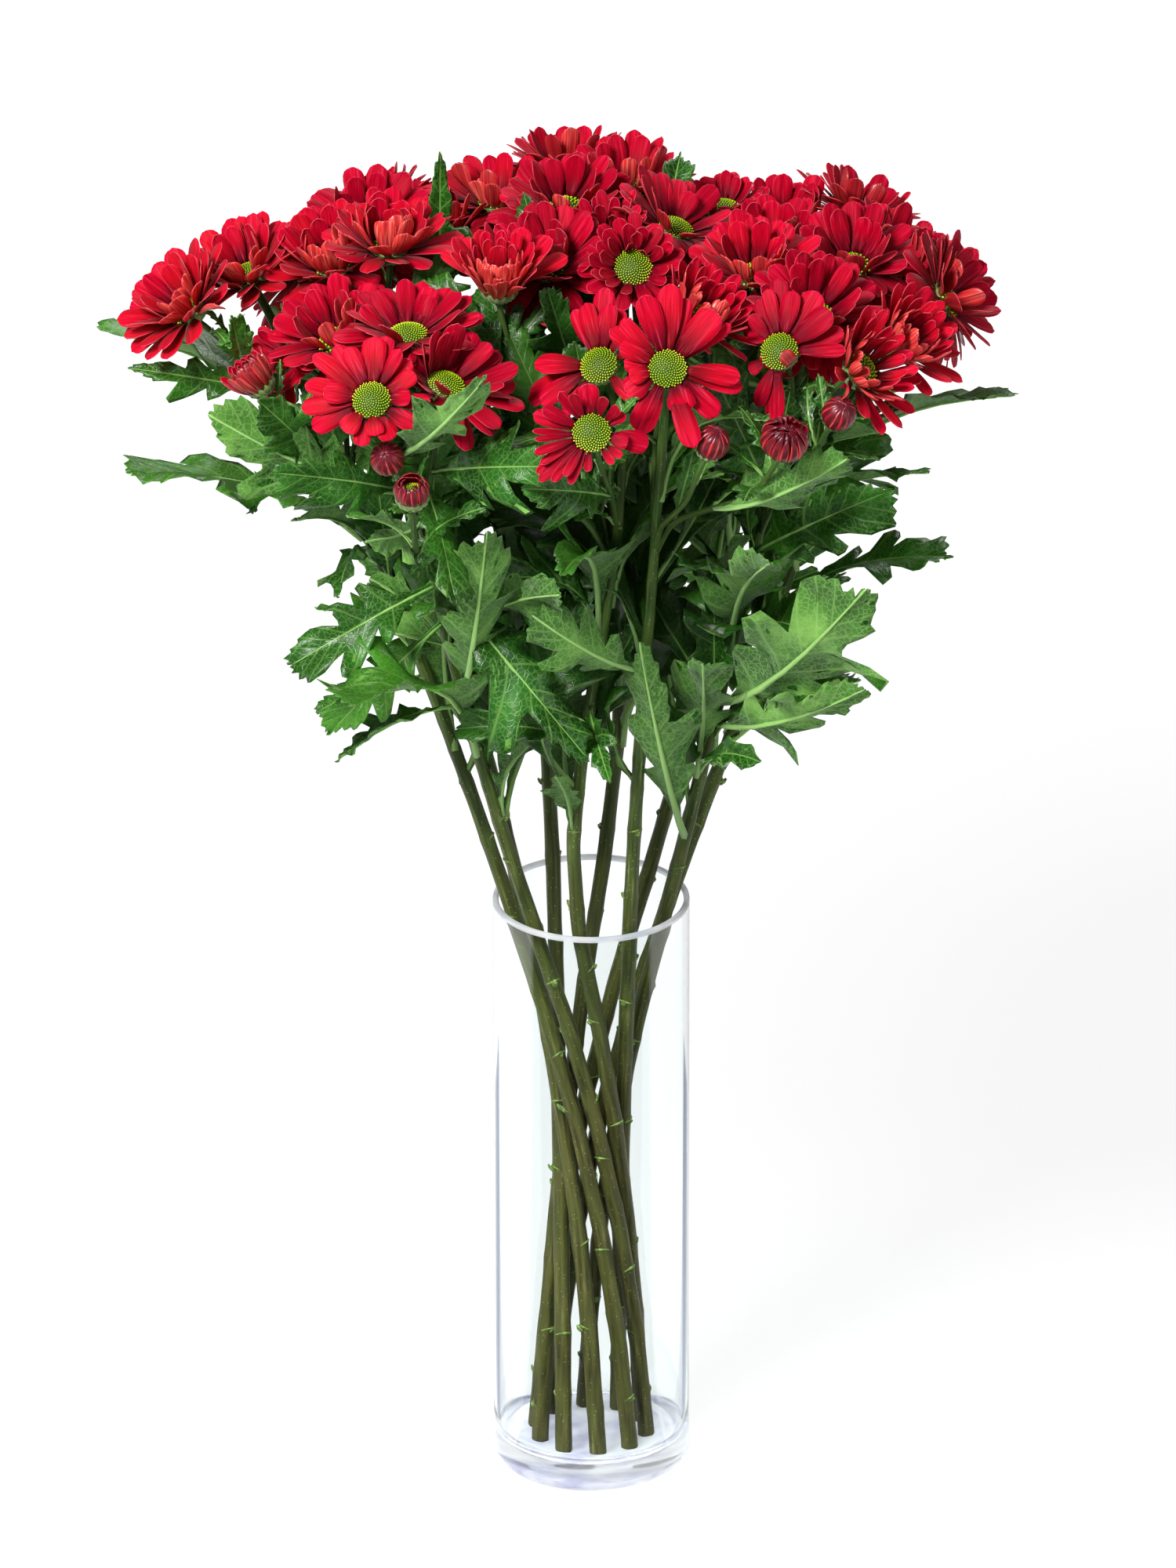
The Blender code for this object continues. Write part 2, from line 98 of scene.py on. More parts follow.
def add(tree, kind, wires=None, stops=(), **settings):
    """Adds one shader node: its settings, its ramp's stops, and its inputs' values or links.
    A node that is linked stands for the output that it gives."""
    made = tree.nodes.new("ShaderNode" + kind)
    for name, value in settings.items():
        setattr(made, name, value)
    for number, (place, colour) in enumerate(stops):
        if number < 2:
            stop = made.color_ramp.elements[number]
            stop.position = place
        else:
            stop = made.color_ramp.elements.new(place)
        stop.color = linear(colour)
    for name, value in (wires or {}).items():
        socket = made.inputs[name]
        if isinstance(value, bpy.types.Node):
            value = next(output for output in value.outputs if output.enabled)
        if isinstance(value, bpy.types.NodeSocket):
            tree.links.new(value, socket)
        elif isinstance(value, str):
            socket.default_value = linear(value)
        else:
            socket.default_value = value
    return made


def new_material(name):
    """An empty material and its tree."""
    material = bpy.data.materials.new(name)
    material.use_nodes = True
    material.node_tree.nodes.clear()
    return material, material.node_tree


def new_object(name, points, faces, materials, looks=None, marks=None, smooth=True):
    """A mesh object. looks gives each face's material, and marks four numbers to a point."""
    mesh = bpy.data.meshes.new(name)
    mesh.from_pydata([tuple(point) for point in points], [], faces)
    for material in materials:
        mesh.materials.append(material)
    if looks:
        mesh.polygons.foreach_set("material_index", looks)
    if marks:
        layer = mesh.color_attributes.new("marks", "FLOAT_COLOR", "POINT")
        layer.data.foreach_set("color", [number for mark in marks for number in mark])
    mesh.polygons.foreach_set("use_smooth", [smooth] * len(mesh.polygons))
    mesh.update()
    made = bpy.data.objects.new(name, mesh)
    bpy.context.scene.collection.objects.link(made)
    return made


def seen_directly(tree):
    """1 where the eye looks straight or through glass, 0 for light on its way off a stem."""
    path = add(tree, "LightPath")
    through = add(tree, "Math", {0: path.outputs["Is Transmission Ray"],
                                 1: path.outputs["Diffuse Depth"]}, operation="SUBTRACT")
    return add(tree, "Math", {0: path.outputs["Is Camera Ray"], 1: through}, operation="MAXIMUM",
               use_clamp=True)


def hide_from(card, *ray_kinds):
    """Keeps a card out of the way of some kinds of ray."""
    for kind in ray_kinds:
        setattr(card, "visible_" + kind, False)


# Matt paper: the eye sees plain white with a soft shadow where the vase stands.
paper, tree = new_material("matt white paper")
sheet_colour = add(tree, "BsdfDiffuse", {"Color": PAPER})
path = add(tree, "LightPath")
# What the glass lets through is a little brighter, to make up for what its faces reflect.
strength = add(tree, "MapRange", {"Value": path.outputs["Is Transmission Ray"],
                                  "To Min": PAPER_GLOW, "To Max": PAPER_GLOW + GLASS_LOSS})
# Far from the vase the paper meets the white room without an edge.
where = add(tree, "TexCoord")
far = add(tree, "VectorMath", {0: where.outputs["Object"]}, operation="LENGTH")
more = add(tree, "MapRange", {"Value": far, "From Min": PAPER_FADES[0],
                              "From Max": PAPER_FADES[1], "To Max": 1 - PAPER_GLOW})
strength = add(tree, "Math", {0: strength, 1: more}, operation="ADD")
glow = add(tree, "Emission", {"Color": ROOM_WHITE, "Strength": strength})
dim = add(tree, "BsdfDiffuse", {"Color": PAPER_LIT})
white_paper = add(tree, "AddShader", {0: glow, 1: dim})
direct = seen_directly(tree)
either = add(tree, "MixShader", {0: direct, 1: sheet_colour, 2: white_paper})
add(tree, "OutputMaterial", {"Surface": either})
corners = [(x * FLOOR_HALF, y * FLOOR_HALF, -FLOOR_GAP) for x, y in
           ((-1, -1), (1, -1), (1, 1), (-1, 1))]
new_object("paper_sweep", corners, [(0, 1, 2, 3)], [paper])

# Grey card: only the glass shows it, as the dark lines down its sides.
card, tree = new_material("grey card")
shade = add(tree, "Emission", {"Color": CARD_GREY, "Strength": 1.0})
gone = add(tree, "BsdfTransparent", {"Color": ROOM_WHITE})
path = add(tree, "LightPath")
# Light that crosses both walls passes it by, so it shows only where a wall turns away.
crossed = add(tree, "Math", {0: path.outputs["Transmission Depth"], 1: BOTH_WALLS},
              operation="GREATER_THAN")
either = add(tree, "MixShader", {0: crossed, 1: shade, 2: gone})
add(tree, "OutputMaterial", {"Surface": either})
for side in (-1, 1):
    corners = [(side * x * MM, y * MM, CARD_HIGH) for x, y in CARD_CORNERS]
    flag = new_object(f"card_{side + 2}", corners, [(0, 1, 2, 3)], [card])
    hide_from(flag, "camera", "diffuse", "glossy", "shadow")

# Black cloth: a fan of it in front keeps the white paper out of the glass's own shine.
cloth, tree = new_material("black cloth")
weave = add(tree, "TexNoise", {"Scale": 900.0})
nap = add(tree, "ValToRGB", {0: weave}, stops=((0.3, "#050505"), (0.7, "#0c0c0c")))
matt = add(tree, "BsdfDiffuse", {"Color": nap})
gone = add(tree, "BsdfTransparent", {"Color": ROOM_WHITE})
path = add(tree, "LightPath")
# Only light that the glass has thrown back meets it, so it isn't seen through the vase.
thrown = add(tree, "Math", {0: path.outputs["Glossy Depth"], 1: THROWN_BACK},
             operation="GREATER_THAN")
either = add(tree, "MixShader", {0: thrown, 1: gone, 2: matt})
add(tree, "OutputMaterial", {"Surface": either})
turns = [math.radians(CLOTH_HALF_DEG * (2 * step / CLOTH_STEPS - 1) - 90)
         for step in range(CLOTH_STEPS + 1)]
corners = [(radius * math.cos(a), radius * math.sin(a), CLOTH_HIGH)
           for radius in CLOTH_RADII for a in turns]
fan = [(step, step + 1, CLOTH_STEPS + 2 + step, CLOTH_STEPS + 1 + step)
       for step in range(CLOTH_STEPS)]
sheet = new_object("black_cloth", corners, fan, [cloth])
hide_from(sheet, "camera", "diffuse", "shadow")

# The room: white where the eye sees it, and a dim even bounce on everything in it.
world = bpy.data.worlds.new("white room")
world.use_nodes = True
world.node_tree.nodes.clear()
tree = world.node_tree
bounce = add(tree, "Background", {"Color": ROOM_WHITE, "Strength": ROOM_BOUNCE})
white = add(tree, "Background", {"Color": ROOM_WHITE, "Strength": 1.0})
direct = seen_directly(tree)
either = add(tree, "MixShader", {0: direct, 1: bounce, 2: white})
add(tree, "OutputWorld", {"Surface": either})
bpy.context.scene.world = world

for box in SOFT_BOXES:
    lamp = bpy.data.lights.new(box.name, "AREA")
    lamp.shape = "DISK"
    lamp.size = box.size
    lamp.energy = box.watts
    holder = bpy.data.objects.new(box.name, lamp)
    holder.location = box.place
    aim = BUNCH_MIDDLE - Vector(box.place)
    holder.rotation_euler = aim.to_track_quat("-Z", "Y").to_euler()
    bpy.context.scene.collection.objects.link(holder)

lens = bpy.data.cameras.new("camera")
lens.sensor_fit = "VERTICAL"
lens.sensor_height = SENSOR_MM
lens.lens = SENSOR_MM * CAMERA_FAR / VIEW_HEIGHT
lens.clip_end = 100
camera = bpy.data.objects.new("camera", lens)
look_down = math.radians(LOOK_DOWN_DEG)
camera.location = VIEW_MIDDLE + CAMERA_FAR * Vector((0, -math.cos(look_down),
                                                     math.sin(look_down)))
camera.rotation_euler = (math.radians(90) - look_down, 0, 0)
bpy.context.scene.collection.objects.link(camera)
bpy.context.scene.camera = camera
bpy.context.scene.view_settings.view_transform = "Standard"


# ------------------------------------------------------------------ the vase
# A plain cylinder of clear soda-lime glass with a thick, slightly hollow foot and a
# fire-polished rim. It was blown in a turned mould, so its walls are smooth and even.

VASE_STEPS = 144
VASE_RADIUS = 50
VASE_WALL = 3
VASE_TOP = (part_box("vase")[1][2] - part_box("vase")[0][2]) / MM
FOOT_ROUND = 6
INNER_ROUND = 9
INNER_FLOOR = 12
RIM_BAND = 2.6
FOOT_TOP = 13.5
FLOOR_EDGE = 1.5         # how much higher the floor is where it turns up into the wall
# Radius and height (mm): the foot is hollow underneath, and the floor is a shallow dish.
FOOT_HOLLOW = ((0, 1.7), (16, 1.6), (32, 1.1), (39, 0.4), (42, 0.05))
FLOOR_DISH = ((26, 0.6), (12, 0.1), (0, 0))
WALL_HEIGHTS = (60, 120, 180, 240, 290)
LOW_OUTSIDE = 20         # where the straight wall begins, outside and inside
LOW_INSIDE = 30
ARC_STEPS = 9
GLASS_IOR = 1.5


def arc(middle, radius, start_deg, end_deg, count):
    """Points of an arc in the plane of a turned profile."""
    turns = [math.radians(start_deg + (end_deg - start_deg) * i / (count - 1))
             for i in range(count)]
    return [(middle[0] + radius * math.cos(a), middle[1] + radius * math.sin(a))
            for a in turns]


def turned(profile, steps):
    """Points and faces of a closed turned shape, from a profile that starts and ends on
    the axis. Millimetres in, metres out."""
    points = [(0, 0, profile[0][1] * MM)]
    for radius, height in profile[1:-1]:
        for step in range(steps):
            turn = math.tau * step / steps
            points.append((radius * math.cos(turn) * MM, radius * math.sin(turn) * MM,
                           height * MM))
    points.append((0, 0, profile[-1][1] * MM))
    rings = len(profile) - 2
    faces = []
    for step in range(steps):
        after = (step + 1) % steps
        faces.append((0, 1 + after, 1 + step))
        for ring in range(rings - 1):
            low = 1 + ring * steps
            faces.append((low + step, low + after, low + steps + after, low + steps + step))
        low = 1 + (rings - 1) * steps
        faces.append((low + step, low + after, len(points) - 1))
    return points, faces


rim = VASE_WALL / 2
inner = VASE_RADIUS - VASE_WALL
profile = list(FOOT_HOLLOW)
profile += arc((VASE_RADIUS - FOOT_ROUND, FOOT_ROUND), FOOT_ROUND, -90, 0, ARC_STEPS)
profile += [(VASE_RADIUS, h) for h in (LOW_OUTSIDE, *WALL_HEIGHTS, VASE_TOP - RIM_BAND)]
profile += arc((VASE_RADIUS - rim, VASE_TOP - rim), rim, 0, 180, ARC_STEPS)
profile += [(inner, h) for h in (VASE_TOP - RIM_BAND, *WALL_HEIGHTS[::-1], LOW_INSIDE)]
profile += arc((inner - INNER_ROUND, INNER_FLOOR + FLOOR_EDGE + INNER_ROUND), INNER_ROUND,
               0, -90, ARC_STEPS)
profile += [(radius, INNER_FLOOR + high) for radius, high in FLOOR_DISH]

# Clear soda-lime glass: nearly unseen in the middle, with dark and bright lines where the
# walls turn away and in the thick foot. Lamps pass through it, as they do in thin glass.
glass, tree = new_material("clear soda-lime glass")
body = add(tree, "BsdfPrincipled", {"Base Color": "#f7fbfb", "Roughness": 0.0, "IOR": GLASS_IOR,
                                    "Transmission Weight": 1.0})
clear = add(tree, "BsdfTransparent", {"Color": "#eef4f4"})
path = add(tree, "LightPath")
either = add(tree, "MixShader", {0: path.outputs["Is Shadow Ray"], 1: body, 2: clear})
add(tree, "OutputMaterial", {"Surface": either})


def glass_with_painted_light(name, tint, roughness, scale, stops, painted_share):
    """Glass with soft pale patches of painted light in it. painted_share is the share of those
    patches.
    """
    made, tree = new_material(name)
    body = add(tree, "BsdfPrincipled", {"Base Color": tint, "Roughness": roughness,
                                        "IOR": GLASS_IOR, "Transmission Weight": 1.0})
    where = add(tree, "TexCoord")
    cloud = add(tree, "TexNoise", {"Vector": where.outputs["Object"], "Scale": scale})
    patches = add(tree, "ValToRGB", {0: cloud}, stops=stops)
    face = add(tree, "BsdfDiffuse", {"Color": patches})
    glow = add(tree, "BsdfTranslucent", {"Color": patches})
    soft = add(tree, "MixShader", {0: 0.5, 1: face, 2: glow})
    both = add(tree, "MixShader", {0: painted_share, 1: body, 2: soft})
    add(tree, "OutputMaterial", {"Surface": both})
    return made


# Fire-polished rim: the flame left it round. The pale band it shows is painted light, a pale
# colour mixed into the glass.
polished = glass_with_painted_light("fire-polished glass rim", "#f4f8fb", 0.05, 60.0,
                       ((0.3, "#dfe6ee"), (0.7, "#ffffff")), 0.75)
# Thick glass of the foot: the paler, faintly lilac soft patches of the light it gathers from the
# whole room are painted into it.
foot = glass_with_painted_light("thick glass of the foot", "#f4f6fd", 0.02, 48.0,
                   ((0.36, "#c4c2de"), (0.62, "#ffffff"), (0.5, "#eceaf6")), 0.5)

points, faces = turned(profile, VASE_STEPS)
looks = []
for face in faces:
    heights = [points[corner][2] / MM for corner in face]
    looks.append(1 if min(heights) >= VASE_TOP - RIM_BAND else
                 2 if max(heights) <= FOOT_TOP else 0)
vase = new_object("vase_glass", points, faces, [glass, polished, foot], looks)
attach(vase, "root")
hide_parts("vase")


# ------------------------------------------------------------------ where the heads are
# Each flower head has a CAD solid of its own. Its axis, seat and rim are read from that
# solid, so the finished head sits exactly there.

SEAT_DEPTH = 9 * MM      # from the disc down to the seat on the stalk
SEAT_RADIUS = 3.3 * MM
SEAT_SLICE = 0.3 * MM    # points this near the lowest are the seat's
SEAT_POINTS = 10
RIM_SLICE = 2.2 * MM     # and this near the widest, the rim's
RIM_LIFT = 0.7 * MM
WELD = 0.005 * MM
DISC_RADIUS = 10 * MM
NOD_TO = Vector((0, -0.78, 0.62))
NOD = 0.30               # how far a finished head turns that way on its seat
NOD_MORE = 0.55          # and how much further one that looks away from it
# Heads that don't turn that way: some keep their solid's axis, and two face their own side.
OWN_WAY = {
    "bloom_01": (-0.42, -0.16, 0.89), "bloom_02": (-0.62, -0.18, 0.76), "bloom_22": None,
    "bloom_35": (-0.05, -0.10, 0.99), "bloom_37": (0.25, -0.25, 0.93),
}
Place = namedtuple("Place", "middle axis rise turn")


def welded(mesh):
    """A copy of a CAD mesh with its loose triangles welded to each other."""
    form = bmesh.new()
    form.from_mesh(mesh)
    bmesh.ops.remove_doubles(form, verts=form.verts[:], dist=WELD)
    form.verts.index_update()
    return form


def head_place(node):
    """A head's disc middle, axis, rise and turn, from its CAD solid."""
    form = welded(node.data)
    points = np.array([vertex.co for vertex in form.verts])
    form.free()
    centre = points.mean(axis=0)
    spread, ways = np.linalg.eigh(np.cov((points - centre).T))
    odd = 2 if abs(spread[1] - spread[0]) < abs(spread[2] - spread[1]) else 0
    for sign in (1, -1):
        axis = ways[:, odd] * sign
        height = (points - centre) @ axis
        off_axis = np.linalg.norm((points - centre) - np.outer(height, axis), axis=1)
        low = height < height.min() + SEAT_SLICE
        if low.sum() >= SEAT_POINTS and off_axis[low].max() < SEAT_RADIUS:
            break
    else:
        raise ValueError(node.name + " has no seat")
    seat = Vector(points[low].mean(axis=0))
    axis = Vector(axis)
    rim = off_axis > off_axis.max() - RIM_SLICE
    reach = float(off_axis[rim].mean())
    lift = float(height[rim].mean() - height[low].mean()) - SEAT_DEPTH + RIM_LIFT
    rise = math.atan2(lift, reach - DISC_RADIUS)
    turn = axis.to_track_quat("Z", "Y").to_matrix()
    return Place(seat + axis * SEAT_DEPTH, axis, math.degrees(rise), turn)


def seat_of(place):
    """Where a head sits on its stalk."""
    return place.middle - place.axis * SEAT_DEPTH


def nodding(name, place):
    """The same place, with the head turned on its seat towards the light in front."""
    away = max(0.0, -place.axis.dot(NOD_TO))
    axis = (place.axis + NOD_TO * (NOD + NOD_MORE * away)).normalized()
    if name in OWN_WAY:
        axis = Vector(OWN_WAY[name] or place.axis).normalized()
    turn = axis.to_track_quat("Z", "Y").to_matrix()
    return place._replace(middle=seat_of(place) + axis * SEAT_DEPTH, axis=axis, turn=turn)


head_names = sorted(name for name in nodes if name.startswith(("bloom", "bud")))
places = {name: head_place(nodes[name]) for name in head_names}


# ------------------------------------------------------------------ the stems
# Ten woody green stems, ribbed lengthwise, brown-olive where they are old. Below the
# bunch the leaves were stripped off, which left a pale scar and a stub at each joint.

SLICE = 3 * MM
NO_SLICE = 0.5 * MM      # the top of a stem that isn't sliced
BELOW_SEAT = 2.5 * MM    # a stalk is traced from this far under its seat
LEAST_FALL = 0.25        # no stalk is taken to run more level than this
BARK_OVER = 1.02         # the bark just covers its solid
STEM_SIDES = 12
STEM_RIBS = 0.045        # how deep the ribs are, as a share of the radius
STALK_SIDES = 8
STALK_RIBS = 0.03
STALK_RADIUS = 1.5 * MM
STALK_FOOT = 1.9 * MM
SINK = 3                 # slices that a stalk runs on inside the stem it grows from
ON_SEAT = 1.2 * MM       # a head whose seat is this near a stem belongs to it
RIBS = 5
COLLAR_HALF_DEG = 70
COLLAR_STEPS = 10
COLLAR_RISE = (0.4, 1.5)     # mm: at its ends, and how much more at its middle
COLLAR_THICK = (0.15, 0.5)
COLLAR_SIDES = 6
STUB_SIDES = 7
STUB_SIZES = (1.1, 2.4)      # mm
JOINT_STEP = 36 * MM
LEAFY_STEP = 20 * MM
GOLDEN = math.radians(137.508)
LEAFY_FROM = 362 * MM
STRIPPED_FROM = 30 * MM
STRIPPED_TO = LEAFY_FROM + 30 * MM
SWELLING = ((-2, 0.01), (-1, 0.04), (0, 0.08), (1, 0.03), (2, 0.01))
STUBS = 0.7              # the share of stripped joints that keep a stub
MAIN_HEADS = {
    "stem_01": "bloom_01", "stem_02": "bloom_05", "stem_03": "bloom_09",
    "stem_04": "bloom_12", "stem_05": "bloom_16", "stem_06": "bloom_20",
    "stem_07": "bloom_24", "stem_08": "bloom_28", "stem_09": "bloom_31",
    "stem_10": "bloom_35",
}
Ring = namedtuple("Ring", "middle radius")


def outward(turn):
    """The level way out from the middle, at a turn."""
    return Vector((math.cos(turn), math.sin(turn), 0))


def surface_of(mesh):
    """A search tree of a mesh's faces."""
    return BVHTree.FromPolygons([vertex.co.copy() for vertex in mesh.vertices],
                                [list(face.vertices) for face in mesh.polygons])


def sliced(mesh):
    """The rings that level planes cut from a CAD stem, as one list for each plane."""
    form = welded(mesh)
    points = [vertex.co.copy() for vertex in form.verts]
    faces = [[vertex.index for vertex in face.verts] for face in form.faces]
    form.free()
    heights = np.array([[points[i].z for i in face] for face in faces])
    low = heights.min(axis=1)
    high = heights.max(axis=1)
    levels = []
    level = float(low.min()) + SLICE / 2
    while level < float(high.max()) - NO_SLICE:
        parent = {}

        def root(key):
            while parent[key] != key:
                key = parent[key]
            return key

        cuts = {}
        pairs = []
        for number in np.nonzero((low < level) & (high > level))[0]:
            face = faces[number]
            crossed = []
            for a, b in zip(face, face[1:] + face[:1]):
                if (points[a].z - level) * (points[b].z - level) < 0:
                    key = (min(a, b), max(a, b))
                    if key not in cuts:
                        part = (level - points[a].z) / (points[b].z - points[a].z)
                        cuts[key] = points[a].lerp(points[b], part)
                        parent[key] = key
                    crossed.append(key)
            if len(crossed) == 2:
                pairs.append(crossed)
                parent[root(crossed[0])] = root(crossed[1])
        groups = {}
        for pair in pairs:
            groups.setdefault(root(pair[0]), []).append(pair)
        rings = []
        for group in groups.values():
            total = 0.0
            middle = Vector()
            for a, b in group:
                length = (cuts[a] - cuts[b]).length
                middle += (cuts[a] + cuts[b]) / 2 * length
                total += length
            middle /= total
            rings.append(Ring(middle, min((cuts[a] - middle).length for a, _ in group)))
        levels.append(rings)
        level += SLICE
    return levels


def traced(levels, place, taken=None):
    """Follows one stalk down from a head's seat, ring by ring. Stops where it meets a ring
    that is taken. Returns the rings from the top, and the level at which it stopped."""
    line = []
    used = {}
    seat = seat_of(place)
    last = seat
    way = -place.axis
    for number in range(len(levels) - 1, -1, -1):
        rings = levels[number]
        near = [r for r in range(len(rings)) if rings[r].middle.z < seat.z - BELOW_SEAT]
        if not near:
            continue
        step = (last.z - rings[0].middle.z) / max(LEAST_FALL, -way.z)
        guess = last + way * step
        best = min(near, key=lambda r: (rings[r].middle - guess).length)
        used[number] = best
        if taken and taken.get(number) == best:
            return line, used, number
        line.append(rings[best])
        new_way = (rings[best].middle - last).normalized()
        way = (way * 0.5 + new_way * 0.5).normalized()
        last = rings[best].middle
    return line, used, 0


def smoothed(values, rounds):
    """Evens out a row of numbers or points, and keeps its two ends."""
    for _ in range(rounds):
        values = ([values[0]]
                  + [(a + b * 2 + c) / 4 for a, b, c in zip(values, values[1:], values[2:])]
                  + [values[-1]])
    return values


def tube(line, radii, sides, ribs, rng):
    """Points, faces and marks of a ribbed round stalk. Its marks are the way round, the way
    along in metres, a random number, and 1 at the middle of each end."""
    points = []
    faces = []
    marks = []
    side = None
    along = 0.0
    shade = rng.random()
    count = len(line)
    start = rng.random() * math.tau
    for number, (point, radius) in enumerate(zip(line, radii)):
        ahead = line[min(number + 1, count - 1)] - line[max(number - 1, 0)]
        ahead.normalize()
        if side is None:
            side = ahead.orthogonal().normalized()
        side = (side - ahead * side.dot(ahead)).normalized()
        other = ahead.cross(side)
        if number:
            along += (point - line[number - 1]).length
        for step in range(sides):
            turn = math.tau * step / sides
            rib = 1 + ribs * math.cos(RIBS * (turn + start))
            rough = 1 + 0.03 * noise.noise(Vector((math.cos(turn) * 2, math.sin(turn) * 2,
                                                   along * 60 + shade * 90)))
            points.append(point + (side * math.cos(turn) + other * math.sin(turn))
                          * radius * rib * rough)
            marks.append((turn / math.tau, along, shade, 0.0))
    for number in range(count - 1):
        low = number * sides
        for step in range(sides):
            after = (step + 1) % sides
            faces.append((low + step, low + after, low + sides + after, low + sides + step))
    for ring, flip in ((0, True), (count - 1, False)):
        middle = len(points)
        points.append(line[ring].copy())
        marks.append((0.0, along if ring else 0.0, shade, 1.0))
        for step in range(sides):
            face = (ring * sides + step, ring * sides + (step + 1) % sides, middle)
            faces.append(face[::-1] if flip else face)
    return points, faces, marks


def joined(parts):
    """Several parts as one. Each comes with the number of its material, or with one number
    for each of its faces."""
    points = []
    faces = []
    marks = []
    looks = []
    for number, (some_points, some_faces, some_marks, *_) in parts:
        first = len(points)
        points += some_points
        marks += some_marks
        faces += [tuple(first + i for i in face) for face in some_faces]
        looks += number if isinstance(number, list) else [number] * len(some_faces)
    return points, faces, marks, looks


# Green bark: satin, with pale lengthwise ribs and specks. It is fresh green near the top
# and brown-olive in the vase, so the eye reads which end is old.
bark, tree = new_material("ribbed green bark")
spot = add(tree, "Attribute", attribute_name="marks")
where = add(tree, "TexCoord")
high = add(tree, "SeparateXYZ", {0: where.outputs["Object"]})
ageing = add(tree, "MapRange", {"Value": high.outputs["Z"], "From Min": 0.2, "From Max": 0.5})
# Ribs about 1 mm apart round the stem, and streaks 30 mm long.
stretched = add(tree, "Mapping", {"Vector": spot.outputs["Vector"], "Scale": (14.0, 34.0, 60.0)})
streaks = add(tree, "TexNoise", {"Vector": stretched, "Scale": 1.0, "Detail": 4.0,
                                 "Roughness": 0.6})
blotches = add(tree, "TexNoise", {"Vector": where.outputs["Object"], "Scale": 45.0,
                                  "Detail": 3.0})
old = add(tree, "ValToRGB", {0: streaks},
          stops=((0.3, "#1e1c0c"), (0.8, "#8c8a60"), (0.48, "#403c18"), (0.64, "#565224")))
young = add(tree, "ValToRGB", {0: streaks},
            stops=((0.3, "#1d3510"), (0.8, "#93ad66"), (0.5, "#35561e"), (0.66, "#4c7029")))
mature = add(tree, "Mix", {0: ageing, 6: old, 7: young}, data_type="RGBA")
patchy = add(tree, "MapRange", {"Value": blotches, "From Min": 0.35, "From Max": 0.7,
                                "To Max": 0.4})
skin = add(tree, "Mix", {0: patchy, 6: mature, 7: "#4c521e"}, data_type="RGBA")
# Specks are pores about 0.8 mm across.
pores = add(tree, "TexVoronoi", {"Vector": where.outputs["Object"], "Scale": 420.0})
pore = add(tree, "MapRange", {"Value": pores, "From Min": 0.16, "From Max": 0.1, "To Max": 0.4})
skin = add(tree, "Mix", {0: pore, 6: skin, 7: "#b4bd84"}, data_type="RGBA")
relief = add(tree, "Bump", {"Height": streaks, "Strength": 0.6, "Distance": 0.0006})
rough = add(tree, "MapRange", {"Value": streaks, "To Min": 0.38, "To Max": 0.62})
bark_skin = add(tree, "BsdfPrincipled", {"Base Color": skin, "Roughness": rough, "Normal": relief,
                                         "IOR": 1.45, "Specular IOR Level": 0.4})
add(tree, "OutputMaterial", {"Surface": bark_skin})

# Soft scar tissue: bright yellow-green spots that mark each stripped joint.
scar, tree = new_material("fresh leaf scar")
where = add(tree, "TexCoord")
mottle = add(tree, "TexNoise", {"Vector": where.outputs["Object"], "Scale": 600.0, "Detail": 3.0})
tone = add(tree, "ValToRGB", {0: mottle}, stops=((0.35, "#39501c"), (0.7, "#7f9844")))
relief = add(tree, "Bump", {"Height": mottle, "Strength": 0.5, "Distance": 0.0004})
scar_skin = add(tree, "BsdfPrincipled", {"Base Color": tone, "Roughness": 0.6, "Normal": relief})
add(tree, "OutputMaterial", {"Surface": scar_skin})


def collar(point, out, up, radius, rng):
    """The scar round a joint: a raised band, highest where the leaf stood."""
    other = up.cross(out)
    line = []
    for step in range(COLLAR_STEPS + 1):
        turn = math.radians(COLLAR_HALF_DEG * (2 * step / COLLAR_STEPS - 1))
        rise = (COLLAR_RISE[0] + COLLAR_RISE[1] * math.cos(turn * 1.3)) * MM
        line.append(point + (out * math.cos(turn) + other * math.sin(turn)) * radius
                    + up * rise)
    thick = []
    for step in range(COLLAR_STEPS + 1):
        swell = math.sin(math.pi * (step + 0.4) / (COLLAR_STEPS + 0.8))
        thick.append((COLLAR_THICK[0] + COLLAR_THICK[1] * swell) * MM * rng.uniform(0.7, 1.3))
    return tube(line, thick, COLLAR_SIDES, 0.0, rng)


def stub(point, out, up, size, rng):
    """What is left of a stripped leaf: a short torn stump that leans up from its joint."""
    length = size * rng.uniform(0.7, 1.6)
    line = [point - out * 0.6 * MM, point + out * 0.5 * MM + up * 0.2 * MM,
            point + out * length * 0.7 + up * length * 0.5,
            point + out * length + up * length * rng.uniform(0.8, 1.3)]
    wide = size * rng.uniform(0.55, 0.8)
    return tube(line, [wide, wide, wide * 0.7, wide * 0.35], STUB_SIDES, 0.0, rng)


